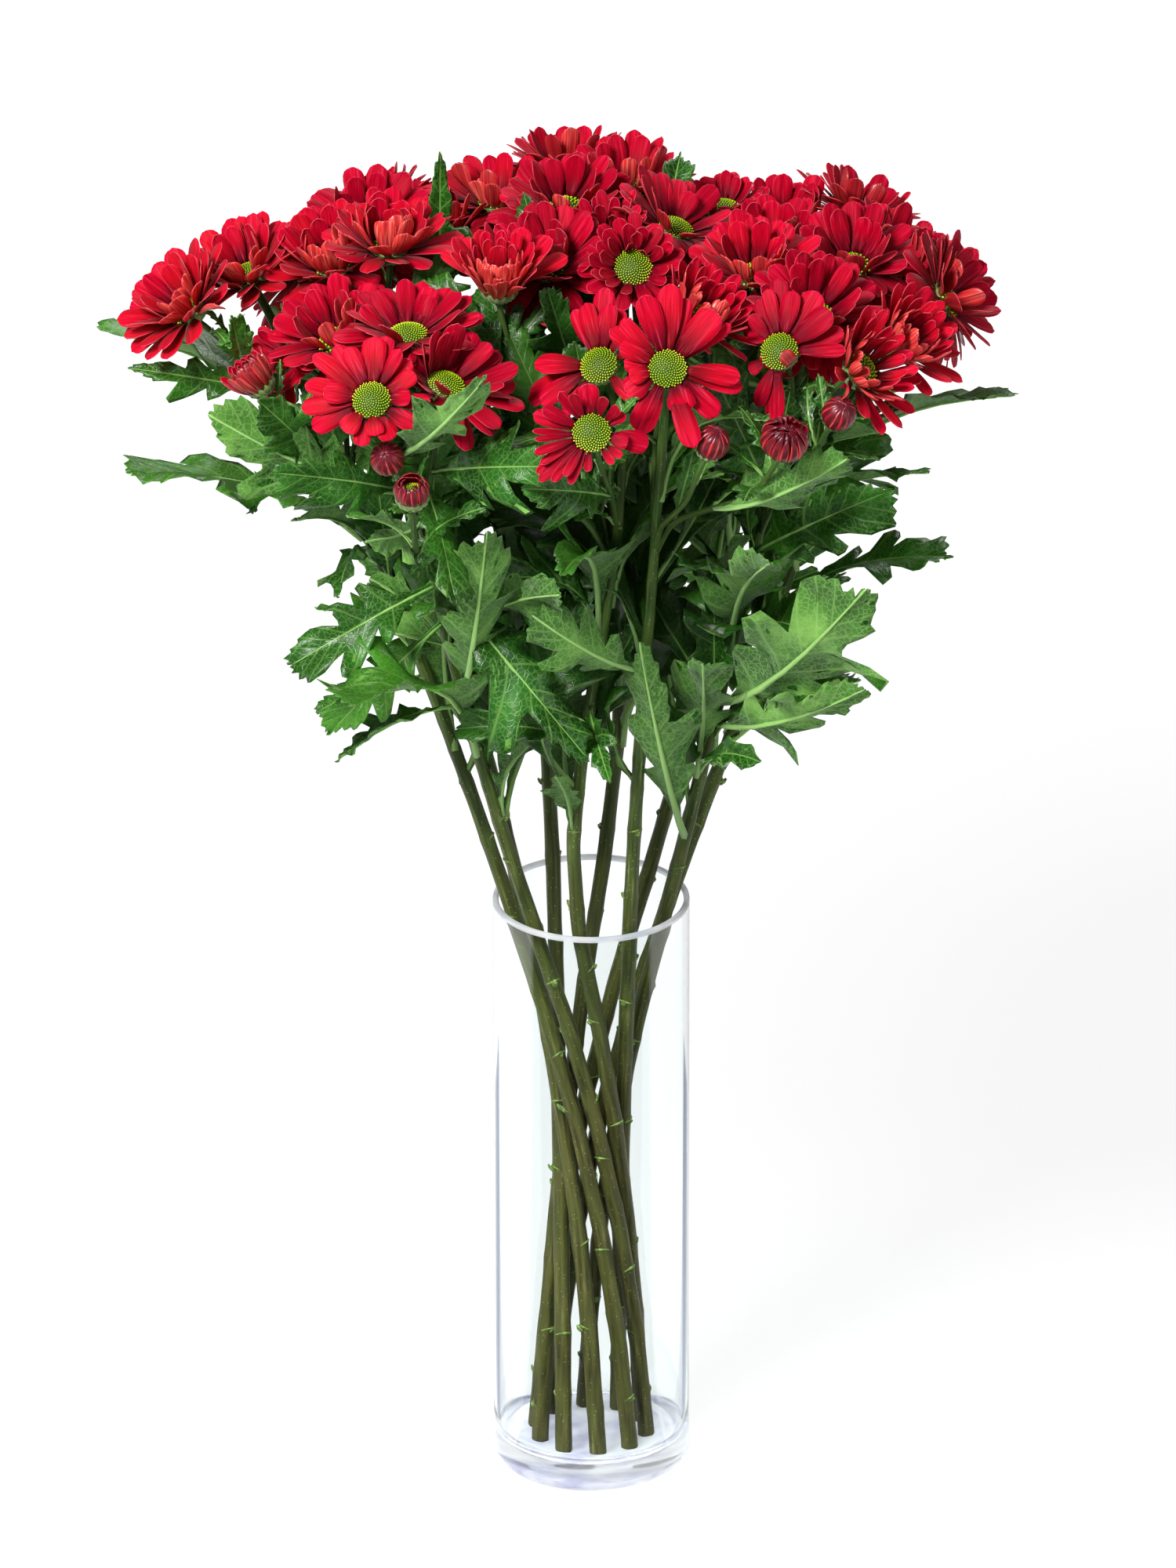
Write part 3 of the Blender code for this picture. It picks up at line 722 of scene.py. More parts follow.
rng = random.Random(11)
stems = {}
stalks = {}
stem_trees = []
for stem_name, main_head in MAIN_HEADS.items():
    levels = sliced(nodes[stem_name].data)
    surface = surface_of(nodes[stem_name].data)
    own = [name for name, place in places.items()
           if surface.find_nearest(seat_of(place))[3] < ON_SEAT]
    if main_head not in own:
        raise ValueError(stem_name + " does not hold " + main_head)
    place = places[main_head]
    rings, used, _ = traced(levels, place)
    line = [seat_of(place)] + [ring.middle for ring in rings]
    radii = [rings[0].radius] + [ring.radius for ring in rings]
    line.append(Vector((*line[-1].xy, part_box(stem_name)[0][2])))
    radii.append(radii[-1])
    line = smoothed(line[::-1], 6)
    radii = radii[::-1]
    # Where a stalk joins, one slice is thicker: the middle value of nine leaves that out.
    around = [sorted(radii[max(0, i - 4) : i + 5]) for i in range(len(radii))]
    radii = smoothed([values[len(values) // 2] * BARK_OVER for values in around], 6)
    # Joints, each with a swelling, closer to each other where the leaves are.
    joints = []
    along = 0.0
    due = STRIPPED_FROM * rng.uniform(0.5, 1.3)
    turn = rng.random() * math.tau
    swollen = list(radii)
    for number in range(1, len(line)):
        along += (line[number] - line[number - 1]).length
        if along >= due:
            step_up = LEAFY_STEP if line[number].z > LEAFY_FROM - 12 * MM else JOINT_STEP
            due = along + step_up * rng.uniform(0.75, 1.3)
            turn += GOLDEN
            joints.append((number, turn))
            for offset, gain in SWELLING:
                if 0 <= number + offset < len(swollen):
                    swollen[number + offset] = radii[number + offset] * (1 + gain)
    parts = [(0, tube(line, swollen, STEM_SIDES, STEM_RIBS, rng))]
    for number, turn in joints:
        point = line[number]
        if point.z > STRIPPED_TO:
            continue
        ahead = (line[min(number + 1, len(line) - 1)] - line[number - 1]).normalized()
        out = outward(turn)
        out = (out - ahead * out.dot(ahead)).normalized()
        parts.append((1, collar(point, out, ahead, swollen[number] * 0.98, rng)))
        if rng.random() < STUBS:
            parts.append((1, stub(point + out * radii[number] * 0.95, out, ahead,
                                  rng.uniform(*STUB_SIZES) * MM, rng)))
    stems[stem_name] = (line, radii, joints)
    for name in own:
        if name == main_head:
            continue
        rings, _, stopped = traced(levels, places[name], used)
        meets = max(0, stopped - SINK)
        path_down = [seat_of(places[name])] + [ring.middle for ring in rings]
        thick = [STALK_RADIUS] * len(path_down) + [STALK_FOOT]
        path_down.append(levels[meets][used[meets]].middle)
        path_down = smoothed(path_down[::-1], 4)
        thick = smoothed(thick[::-1], 2)
        stalks[name] = (path_down, thick)
        parts.append((0, tube(path_down, thick, STALK_SIDES, STALK_RIBS, rng)))
    points, faces, marks, looks = joined(parts)
    piece = new_object(stem_name + "_bark", points, faces, [bark, scar], looks, marks)
    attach(piece, "root")
    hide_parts(stem_name)
    stem_trees.append(BVHTree.FromPolygons([Vector(point) for point in points], faces))


# ------------------------------------------------------------------ the flower heads
# Single spray chrysanthemums: strap-shaped ray florets in two rows round a domed disc of
# tiny tube florets, on a cup of green scales. Rays are satin red with a dull salmon back.

RAY_COLUMNS = 5
RAY_PARTS = (0.0, 0.13, 0.28, 0.44, 0.59, 0.72, 0.83, 0.915, 0.97, 1.0)
RAY_THICK = 0.35 * MM
LEAST_BOW = 0.02         # radians, so that a flat ray divides by no zero
RAY_ROOT = 9.2 * MM
WIDTHS = ((0.0, 0.32), (0.13, 0.46), (0.28, 0.70), (0.44, 0.89), (0.59, 0.98), (0.72, 1.0),
          (0.83, 0.96), (0.915, 0.80), (0.97, 0.52), (1.0, 0.16))
# Rays on the side of the bunch's crown stand up against their neighbours, and those on
# the free side hang.
STANDING = Vector((0, 0.55, 0.83))

# A row of rays: how many, their length and width (mm), how far their rise differs from
# the head's own (degrees), how far they bend up (or down) along their length, how far
# their sides roll in, how uneven they are, and how far they stand or hang (degrees).
Row = namedtuple("Row", "rays length width rise bend roll uneven stand")
FORMS = {
    "up": ((14, 30, 11.8, -16, -16, 24, 1.0, 24), (13, 29, 11.4, -2, -8, 30, 1.0, 22),
           (12, 27, 10.8, 16, 6, 38, 1.1, 4), (9, 23, 9.8, 36, 28, 50, 1.2, -10)),
    "curl": ((13, 28, 11.6, -6, 0, 34, 1.0, 10), (12, 27, 11.2, 10, 18, 46, 1.0, 2),
             (10, 25, 10.4, 24, 34, 56, 1.1, -4), (8, 20, 9.2, 38, 44, 64, 1.1, -8)),
    "side": ((13, 29, 11.6, 6, -8, 24, 1.0, 10), (12, 28, 11.2, 18, -4, 30, 1.0, 6),
             (11, 25, 10.4, 30, 8, 40, 1.1, 0), (8, 21, 8.8, 44, 24, 56, 1.1, 0)),
    "full": ((14, 30, 11.4, -10, -8, 22, 1.0, 14), (13, 29, 10.8, 2, -6, 28, 1.1, 14),
             (10, 25, 10.0, 14, 4, 38, 1.2, 12)),
    "open": ((13, 31, 11.4, -10, -8, 20, 1.1, 16), (12, 29, 10.8, 4, -6, 26, 1.2, 16),
             (5, 24, 9.6, 18, 6, 40, 1.3, 14)),
    "flat": ((12, 33, 12.0, -8, -10, 18, 1.3, 14), (9, 31, 11.2, 5, -8, 24, 1.5, 14),
             (4, 23, 10.0, 16, 6, 34, 1.4, 12)),
    "narrow": ((16, 23, 6.6, -8, -6, 120, 1.4, 10), (15, 21, 6.2, 6, 8, 140, 1.4, 12),
               (12, 17, 5.6, 20, 44, 150, 1.3, 10)),
    "short": ((15, 19, 7.8, -10, 0, 60, 1.1, 16), (14, 17, 7.4, 6, 12, 80, 1.1, 16),
              (12, 15, 6.6, 22, 28, 100, 1.2, 12)),
    "cup": ((14, 30, 11.2, -16, -8, 30, 1.0, 22), (12, 27, 10.4, -4, 4, 36, 1.0, 28),
            (13, 23, 6.6, 16, 28, 110, 0.6, 0), (11, 19, 5.8, 28, 44, 130, 0.5, 0)),
    "half": ((14, 26, 7.8, -10, 14, 80, 0.8, 14), (14, 23, 6.4, 8, 36, 110, 0.6, 0),
             (11, 19, 5.6, 20, 54, 120, 0.5, 0)),
    "quills": ((13, 19, 5.4, 48, 46, 110, 0.6, 0), (11, 17, 5.0, 62, 52, 120, 0.5, 0),
               (7, 15, 4.4, 72, 56, 130, 0.4, 0)),
    "ring": ((15, 15, 4.0, 46, 96, 120, 0.5, 0), (13, 12, 3.6, 52, 104, 120, 0.4, 0)),
    "opening": ((15, 25, 6.4, 34, 128, 90, 0.35, 0), (13, 22, 5.6, 44, 140, 90, 0.3, 0),
                (9, 17, 4.6, 60, 120, 90, 0.3, 0)),
    "bud": ((14, 21, 6.0, 52, 130, 80, 0.12, 0), (12, 19, 5.2, 58, 124, 80, 0.12, 0)),
}
# The heads of each form. Those that aren't here have the form "up".
HEADS_OF_FORM = {
    "curl": "bloom_03 bloom_04 bloom_21", "side": "bloom_01 bloom_02",
    "full": "bloom_35 bloom_36", "open": "bloom_14 bloom_25 bloom_31 bloom_37",
    "flat": "bloom_28", "narrow": "bloom_13 bloom_32", "short": "bloom_29", "cup": "bloom_34",
    "half": "bloom_26 bloom_27 bloom_30", "quills": "bud_01", "ring": "bud_05",
    "opening": "bud_03", "bud": "bud_02 bud_04",
}
HEAD_FORMS = {head: form for form, heads in HEADS_OF_FORM.items() for head in heads.split()}
# How deep or warm a head's red is, from 0 to 1. This is partly painted light: a deep red paints
# shade on heads in shade, and a warm orange paints the glow of lit heads. The rest differ a little
# at random.
HEADS_OF_TONE_AND_PAINTED_LIGHT = {
    0.0: "bloom_29 bloom_32",
    0.1: "bloom_13 bloom_14 bloom_15 bloom_20 bloom_21 bloom_22 bloom_25 bloom_33 bloom_37",
    0.15: "bloom_18",
    0.2: "bloom_05 bloom_11 bloom_16 bloom_17 bloom_24 bloom_39 bloom_40",
    0.25: "bloom_10",
    0.3: "bloom_06 bloom_07 bloom_08 bloom_19 bloom_35 bud_01 bud_03 bud_06",
    0.4: "bud_02 bud_04",
    0.5: "bloom_12",
    0.6: "bloom_23 bloom_30 bloom_31",
    0.7: "bloom_28 bloom_36",
    0.75: "bloom_26 bloom_27",
    0.8: "bloom_03 bloom_04",
    0.9: "bloom_01 bloom_02 bloom_34",
}
TONE_AND_PAINTED_LIGHT = {head: tone for tone, heads in HEADS_OF_TONE_AND_PAINTED_LIGHT.items() for head in heads.split()}
OWN_RISE = 0.7           # how much of the CAD solid's steepness the rays take up
FRONT_OF_CUP = 0.1       # the cup-shaped head holds the rays on this side upright
UPRIGHT = 62             # degrees
UPRIGHT_MORE = 5         # for each row further in
UPRIGHT_SHARE = 0.86     # of the row's length
UPRIGHT_WIDTH = 7.2
UPRIGHT_ROLL = 100
STUNTED = 0.05           # the share of rays that stayed short and rise steeply
TWISTED = 0.04           # and that turn over along their length

# The five heads that face the room have each ray listed: the way it points as seen from the front
# (degrees, with 90 up), how far its tip is seen from the disc's middle and its width (mm), how far
# it rises from the head's plane and bends (degrees), and its layer.
SetRay = namedtuple("SetRay", "way far width rise bend layer")
SET_RAYS = {
    "bloom_28": (
        (98, 34, 9.5, 4, -6, 0), (76, 37, 9.5, 4, -6, 0), (35, 39, 6.5, 4, 0, 0),
        (-15, 39, 9.0, -10, -8, 0), (-73, 42, 10.5, -16, -14, 0), (144, 35, 8.5, 4, -4, 0),
        (88, 43, 11.5, 10, -8, 1), (135, 33, 8.5, 8, -4, 1), (-4, 37, 9.5, 0, -12, 1),
        (-42, 35, 10.5, -8, -10, 1), (-114, 35, 12.5, -6, -14, 1), (208, 24, 12.0, 6, -16, 1),
        (169, 22, 9.5, 16, -20, 1), (108, 39, 11.5, 14, -10, 2), (50, 38, 13.5, 14, -8, 2),
        (-66, 23, 13.0, 10, -44, 2), (190, 20, 9.0, 16, -24, 2), (153, 27, 9.0, 16, -14, 2),
    ),
    "bloom_31": (
        (116, 32, 7.0, 6, -4, 0), (70, 31, 9.0, 6, -4, 0), (30, 28, 8.0, 6, 0, 0),
        (200, 42, 13.0, -6, -26, 0), (230, 30, 8.0, -6, -20, 0), (87, 40, 10.5, 12, -8, 1),
        (56, 29, 8.0, 12, -4, 1), (174, 35, 9.5, 6, -26, 1), (208, 36, 9.5, 2, -22, 1),
        (-44, 24, 8.0, 0, -10, 1), (80, 32, 9.5, 20, -10, 2), (103, 33, 10.0, 16, -8, 2),
        (182, 31, 7.0, 16, -20, 2),
    ),
    "bloom_32": (
        (108, 24, 6.0, 14, 10, 0), (28, 20, 5.0, 18, 20, 0), (177, 30, 3.4, 8, 20, 0),
        (213, 34, 5.2, -4, -6, 0), (230, 31, 5.2, -4, 0, 0), (262, 19, 4.5, 0, 0, 0),
        (-39, 19, 4.5, 4, 0, 0), (-10, 29, 10.5, -12, -6, 0), (162, 31, 7.5, 8, -6, 1),
        (129, 27, 6.0, 18, 20, 1), (94, 25, 9.5, 10, 10, 1), (43, 22, 5.5, 24, 50, 1),
        (186, 30, 3.4, 14, 24, 1), (210, 30, 4.6, 2, 0, 1), (223, 36, 5.4, -6, -6, 1),
        (247, 28, 5.4, -4, -8, 1), (-56, 19, 4.5, 4, 0, 1), (-14, 19, 7.5, 10, -10, 1),
        (153, 28, 6.5, 14, 0, 2), (118, 25, 5.5, 26, 40, 2), (69, 24, 5.5, 26, 60, 2),
        (200, 31, 4.6, 10, 0, 2), (238, 26, 4.8, 4, 0, 2),
    ),
    "bloom_36": (
        (78, 34, 9.0, 6, -4, 0), (47, 28, 8.5, 6, 0, 0), (0, 29, 8.5, -2, -6, 0),
        (-107, 23, 8.0, -8, -10, 0), (202, 33, 9.5, -8, -10, 0), (163, 35, 9.5, 0, -6, 0),
        (125, 34, 8.5, 4, -4, 0), (88, 33, 11.5, 12, -8, 1), (31, 26, 8.5, 12, -10, 1),
        (-30, 25, 9.0, -2, -10, 1), (-64, 22, 9.5, -6, -20, 1), (184, 36, 9.0, -2, -10, 1),
        (140, 38, 8.5, 8, -8, 1), (60, 30, 6.5, 14, 10, 2), (5, 20, 9.5, 16, -24, 2),
        (229, 21, 9.5, 8, -24, 2), (166, 25, 11.5, 14, -20, 2), (114, 30, 8.5, 14, -10, 2),
        (-84, 18, 9.0, 8, -30, 2),
    ),
    "bloom_25": (
        (112, 29, 8.5, 4, -4, 0), (91, 38, 9.0, 4, -4, 0), (17, 33, 9.5, 2, -6, 0),
        (-97, 34, 9.5, -14, -14, 0), (209, 18, 6.5, 0, -10, 0), (100, 33, 7.0, 10, -6, 1),
        (130, 24, 7.0, 12, -6, 1), (57, 36, 12.5, 10, -8, 1), (2, 34, 6.5, 6, 10, 1),
        (248, 30, 7.0, -12, -14, 1), (77, 32, 9.5, 16, -8, 2), (37, 33, 12.5, 14, -8, 2),
        (-42, 14, 7.5, 50, 100, 2),
    ),
}
NARROW = 6.0             # a set ray up to this wide (mm) rolls its sides in
NARROW_ROLL = 95
SET_ROLL = 26
SET_WIDER = 1.1          # makes up for the width that rolling takes away
SET_LENGTHS = (9 * MM, 38 * MM)
TURNS_TRIED = 240
FEW_COLUMNS = 3          # for the lowest rays, which the others nearly cover
RIGHT = Vector((1, 0, 0))
SEEN_UP = Vector((0, math.sin(math.radians(LOOK_DOWN_DEG)),
                  math.cos(math.radians(LOOK_DOWN_DEG))))
LIFTS = (0, 9, 18, 28, 40, 54)
CUT_LIFT = 18            # how far a ray rises that is cut short
CLEAR = 1.6 * MM
NEIGHBOUR = 85 * MM
LEVEL_IN = 0.35 * MM     # each row starts this much further in, and this much higher
LEVEL_UP = 1.2 * MM
LOWEST = -2.2 * MM
BUD_NARROWER = 0.62
BUD_LOWER = 1.5 * MM
# How far a form's rays are striped as a closed bud's are, and how far inner rows are.
CLOSED = {"bud": 1.0, "opening": 1.0, "ring": 1.0, "quills": 0.6, "half": 0.2, "cup": 0.1}
INNER_CLOSED = 0.35
TAPERS = {"bud": 0.72, "opening": 0.72}


def between(table, at):
    """The value of a table of (place, value) at a place, on straight lines."""
    for (a, low), (b, high) in zip(table, table[1:]):
        if at <= b:
            return low + (high - low) * (at - a) / (b - a)
    return table[-1][1]


shells = {}              # the sheets made so far, by their count of points and columns


def shell_faces(count, columns):
    """Faces of a closed sheet from a grid of points: the grid, a copy of it below, and a rim
    round both. With each face goes 0, 1 or 2, for its upper side, its back and its rim."""
    if (count, columns) not in shells:
        top = [(a, a + 1, a + 1 + columns, a + columns)
               for row in range(count // columns - 1)
               for a in range(row * columns, row * columns + columns - 1)]
        sides = {pair for face in top for pair in zip(face, face[1:] + face[:1])}
        rim_faces = [(b, a, a + count, b + count) for a, b in sorted(sides)
                     if (b, a) not in sides]
        back = [tuple(i + count for i in face[::-1]) for face in top]
        looks = [0] * len(top) + [1] * len(back) + [2] * len(rim_faces)
        shells[count, columns] = (top + back + rim_faces, looks, top)
    return shells[count, columns]


def thickened(points, marks, columns, thick):
    """A grid of points made into a closed sheet: points, faces, marks and looks."""
    faces, looks, top = shell_faces(len(points), columns)
    grid = np.array([tuple(point) for point in points])
    quads = np.array(top)
    across = np.cross(grid[quads[:, 2]] - grid[quads[:, 0]], grid[quads[:, 3]] - grid[quads[:, 1]])
    normals = np.zeros_like(grid)
    for corner in range(4):
        np.add.at(normals, quads[:, corner], across)
    normals /= np.linalg.norm(normals, axis=1, keepdims=True) + 1e-12
    below = [Vector(point) for point in grid - normals * thick]
    return points + below, faces, marks + marks, looks


def ray_line(turn, root, length, rise, bend, sway):
    """A ray's middle line in its head's own frame, with its direction at each step. The
    steps grow shorter towards the round tip."""
    point = Vector((math.cos(turn) * root.x, math.sin(turn) * root.x, root.y))
    line = []
    for part in RAY_PARTS:
        climb = math.radians(rise + bend * part ** 1.25)
        out = outward(turn + math.radians(sway) * part)
        ahead = out * math.cos(climb) + UP * math.sin(climb)
        normal = UP * math.cos(climb) - out * math.sin(climb)
        if line:
            point = point + (ahead + line[-1][1]) / 2 * length * (part - line[-1][3])
        line.append((point, ahead, normal, part))
    return line


def ray(line, length, width, roll, twist, rng, closed, columns, tone, taper):
    """One ray floret as a sheet: a narrow root, nearly parallel sides and a round tip with a small
    notch. Its sides roll up, and it turns a little along its length. Its marks are the place
    across (mm) and along it, its own shade of red, which carries its head's painted light and
    shade, and how far it is a closed bud's."""
    points = []
    marks = []
    shade = tone * 0.6 + rng.random() * 0.4
    notch = rng.uniform(-0.2, 0.45) * MM
    tip_roll = roll * rng.uniform(0.3, 0.8)
    wave = rng.uniform(-0.4, 0.4) * MM
    for point, ahead, normal, part in line:
        half = between(WIDTHS, part) * width / 2 * (1 - taper * part * part)
        bow = math.radians(roll + (tip_roll - roll) * part) / 2
        if abs(bow) < LEAST_BOW:
            bow = LEAST_BOW
        turned_by = Matrix.Rotation(math.radians(twist) * part, 3, ahead)
        lift = turned_by @ normal
        side = ahead.cross(lift)
        for column in range(columns):
            across = column / (columns - 1) * 2 - 1
            x = half * math.sin(bow * across) / bow
            z = half * (1 - math.cos(bow * across)) / bow
            z += wave * math.sin(part * 7 + across * 2) * part
            back = length * 0.02 * abs(across) ** 2.4 * part ** 6
            back += notch * math.exp(-(across / 0.3) ** 2) * part ** 8
            points.append(point + side * x + lift * z - ahead * back)
            marks.append((across * half / MM, part, shade, closed))
    return thickened(points, marks, columns, RAY_THICK)


def marks_of(tree):
    """The marks on a mesh: all of them as they are, and the first three apart."""
    spot = add(tree, "Attribute", attribute_name="marks")
    return spot, add(tree, "SeparateXYZ", {0: spot.outputs["Vector"]})


def let_through(tree, face, light, share):
    """Finishes a thin material, which lets a share of the light behind it through."""
    through = add(tree, "BsdfTranslucent", {"Color": light})
    both = add(tree, "MixShader", {0: share, 1: face, 2: through})
    add(tree, "OutputMaterial", {"Surface": both})


# Ray floret, upper side: velvet red, finely grooved lengthwise. Its darker root is partly its own
# colour and partly painted shade, pale streaks on it are painted sheen, a high tone adds a painted
# orange glow and a low tone painted deep shade. Light from behind glows orange-red through it.
velvet, tree = new_material("red ray floret")
spot, ray_at = marks_of(tree)
# Grooves are about 1 mm apart.
groove_map = add(tree, "Mapping", {"Vector": spot.outputs["Vector"], "Scale": (1.0, 1.6, 37.0)})
grooves = add(tree, "TexNoise", {"Vector": groove_map, "Scale": 1.0, "Detail": 2.0,
                                 "Roughness": 0.5})
# Painted shade: the root is darkened beyond its own deeper red.
root_colour_and_shade = add(tree, "ValToRGB", {0: ray_at.outputs["Y"]},
            stops=((0.0, "#220004"), (1.0, "#d20632"), (0.24, "#620014"), (0.62, "#ba0022")))
dark = add(tree, "MapRange", {"Value": grooves, "From Min": 0.48, "From Max": 0.3, "To Max": 0.6})
streaked = add(tree, "Mix", {0: dark, 6: root_colour_and_shade, 7: "#780418"}, data_type="RGBA")
# Painted sheen: pale pink streaks along the grooves stand in for highlights.
light = add(tree, "MapRange", {"Value": grooves, "From Min": 0.55, "From Max": 0.75,
                               "To Max": 0.5})
streaked = add(tree, "Mix", {0: light, 6: streaked, 7: "#f0385c"}, data_type="RGBA")
# Painted glow: a high tone turns a ray orange-red, as where light shines through it.
warm_painted_glow = add(tree, "MapRange", {"Value": ray_at.outputs["Z"], "From Min": 0.55, "From Max": 1.0,
                              "To Max": 0.3})
tinted = add(tree, "Mix", {0: warm_painted_glow, 6: streaked, 7: "#e02014"}, data_type="RGBA")
# Painted shade: a low tone turns a ray deep maroon, as on heads in shade.
deep = add(tree, "MapRange", {"Value": ray_at.outputs["Z"], "From Min": 0.5, "From Max": 0.1,
                              "To Max": 0.55})
tinted = add(tree, "Mix", {0: deep, 6: tinted, 7: "#84001c"}, data_type="RGBA")
relief = add(tree, "Bump", {"Height": grooves, "Strength": 0.8, "Distance": 0.0004})
face = add(tree, "BsdfPrincipled", {"Base Color": tinted, "Roughness": 0.5, "Normal": relief,
                                    "Specular IOR Level": 0.06, "Sheen Weight": 0.12,
                                    "Sheen Roughness": 0.4, "Sheen Tint": "#ff9aa0"})
let_through(tree, face, "#e81c10", 0.15)

# Ray floret, back: dull salmon with paler lengthwise veins. On a closed bud it is maroon
# with a salmon line down each edge.
salmon, tree = new_material("salmon back of a ray floret")
spot, ray_at = marks_of(tree)
groove_map = add(tree, "Mapping", {"Vector": spot.outputs["Vector"], "Scale": (1.5, 1.2, 37.0)})
grooves = add(tree, "TexNoise", {"Vector": groove_map, "Scale": 1.0, "Detail": 2.0})
dull = add(tree, "ValToRGB", {0: grooves},
           stops=((0.3, "#c41828"), (0.76, "#ff9e8a"), (0.5, "#ea3e3a")))
# Painted shade: a low tone, which paints shade on heads in shade, turns the back a duller red.
plain = add(tree, "MapRange", {"Value": ray_at.outputs["Z"], "From Min": 0.62, "From Max": 0.3,
                               "To Max": 0.85})
dull = add(tree, "Mix", {0: plain, 6: dull, 7: "#a01422"}, data_type="RGBA")
away = add(tree, "Math", {0: ray_at.outputs["X"]}, operation="ABSOLUTE")
middle = add(tree, "MapRange", {"Value": away, "From Min": 1.7, "From Max": 0.9})
shut = add(tree, "Math", {0: middle, 1: spot.outputs["Alpha"]}, operation="MULTIPLY")
striped = add(tree, "Mix", {0: shut, 6: dull, 7: "#5e0c1c"}, data_type="RGBA")
relief = add(tree, "Bump", {"Height": grooves, "Strength": 0.5, "Distance": 0.0003})
face = add(tree, "BsdfPrincipled", {"Base Color": striped, "Roughness": 0.32, "Normal": relief,
                                    "Specular IOR Level": 0.5})
let_through(tree, face, "#e82418", 0.12)

# Cut edge of a ray: a fine pale pink line that outlines each ray against the next.
edging, tree = new_material("pale edge of a ray floret")
_, ray_at = marks_of(tree)
tone = add(tree, "ValToRGB", {0: ray_at.outputs["Y"]}, stops=((0.1, "#780c1e"), (0.9, "#cc3c4c")))
face = add(tree, "BsdfPrincipled", {"Base Color": tone, "Roughness": 0.6})
add(tree, "OutputMaterial", {"Surface": face})

head_trees = {name: surface_of(nodes[name].data) for name in head_names}


def near_others(name, middle):
    """The search trees of the heads near enough to touch this one's rays."""
    return [head_trees[other] for other in head_names
            if other != name and (places[other].middle - middle).length < NEIGHBOUR]


def seen(way):
    """How a way or a distance looks from the front: to the right, and up."""
    return Vector((way.dot(RIGHT), way.dot(SEEN_UP)))


def aimed(place, wanted):
    """The turn and the length of a set ray, so that its tip is seen where it is wanted."""
    tip = outward(math.radians(wanted.way)).xy * (wanted.far * MM)
    rise = math.radians(wanted.rise)
    best = None
    for step in range(TURNS_TRIED):
        turn = math.tau * step / TURNS_TRIED
        out = place.turn @ outward(turn)
        root = seen(out * RAY_ROOT)
        ahead = seen(out * math.cos(rise) + place.axis * math.sin(rise))
        length = (tip.length - root.length) / max(0.3, ahead.length)
        length = min(max(length, SET_LENGTHS[0]), SET_LENGTHS[1])
        miss = (root + ahead * length - tip).length
        if best is None or miss < best[0]:
            best = (miss, turn, length)
    return best[1], best[2]


def rays_wanted(name, place, form, rng):
    """The turn, layer, length, width, rise, bend, sway, roll and twist of each ray."""
    wanted = []
    for entry in map(SetRay._make, SET_RAYS.get(name, ())):
        turn, length = aimed(place, entry)
        roll = NARROW_ROLL if entry.width <= NARROW else SET_ROLL
        width = entry.width * (1.0 if entry.width <= NARROW else SET_WIDER) * MM
        wanted.append((turn, entry.layer, length, width, entry.rise, entry.bend,
                       rng.gauss(0, 4), roll * rng.uniform(0.7, 1.25), rng.gauss(0, 9)))
    if wanted:
        return wanted
    for level, row in enumerate(map(Row._make, FORMS[form])):
        start = rng.random() * math.tau
        loose = row.uneven
        for number in range(row.rays):
            turn = start + math.tau * (number + rng.uniform(-0.16, 0.16) * loose) / row.rays
            length = row.length * MM * rng.uniform(1 - 0.12 * loose, 1 + 0.06 * loose)
            width = row.width * MM * rng.uniform(1 - 0.10 * loose, 1 + 0.08 * loose)
            out = place.turn @ outward(turn)
            rise = row.rise + row.stand * out.dot(STANDING) + rng.gauss(0, 4.5) * loose
            if not name.startswith("bud"):
                rise += place.rise * OWN_RISE
            twist = rng.gauss(0, 11) * loose
            roll = row.roll
            if form == "cup" and out.y < FRONT_OF_CUP:
                rise = UPRIGHT + level * UPRIGHT_MORE + rng.gauss(0, 4)
                width = UPRIGHT_WIDTH * MM
                length *= UPRIGHT_SHARE
                roll = UPRIGHT_ROLL
            odd = rng.random()
            if odd < STUNTED * loose:
                length *= rng.uniform(0.55, 0.8)
                rise += rng.uniform(10, 40)
            elif odd < (STUNTED + TWISTED) * loose:
                twist *= 4
            wanted.append((turn, level, length, width, rise, row.bend + rng.gauss(0, 8) * loose,
                           rng.gauss(0, 6) * loose, roll * rng.uniform(0.7, 1.25), twist))
    return wanted


def rays_of(name, place, form, rng):
    """All rays of one head. A ray that would run into a neighbour rises until it is clear,
    and is cut short if it can't be."""
    others = near_others(name, place.middle)
    parts = []
    tone = TONE_AND_PAINTED_LIGHT.get(name, rng.uniform(0.15, 0.6))
    for turn, level, length, width, rise, bend, sway, roll, twist in rays_wanted(
            name, place, form, rng):
        root = Vector((RAY_ROOT - level * LEVEL_IN, level * LEVEL_UP + LOWEST))
        if name.startswith("bud"):
            root.x *= BUD_NARROWER
            root.y -= BUD_LOWER
        for lift in LIFTS:
            line = ray_line(turn, root, length, rise + lift, bend, sway)
            hit = None
            for step, entry in enumerate(line[2:], 2):
                at = place.middle + place.turn @ entry[0]
                if any(other.find_nearest(at, CLEAR)[0] for other in others):
                    hit = step
                    break
            if hit is None:
                break
        else:
            length *= max(0.5, RAY_PARTS[hit - 1])
            line = ray_line(turn, root, length, rise + CUT_LIFT, bend, sway)
        closed = CLOSED.get(form, INNER_CLOSED * (level > 0))
        columns = RAY_COLUMNS if level or name in SET_RAYS or roll > 40 else FEW_COLUMNS
        points, faces, marks, looks = ray(line, length, width, roll, twist, rng, closed, columns,
                                          tone, TAPERS.get(form, 0.0))
        points = [place.middle + place.turn @ point for point in points]
        parts.append((looks, (points, faces, marks)))
    return joined(parts)


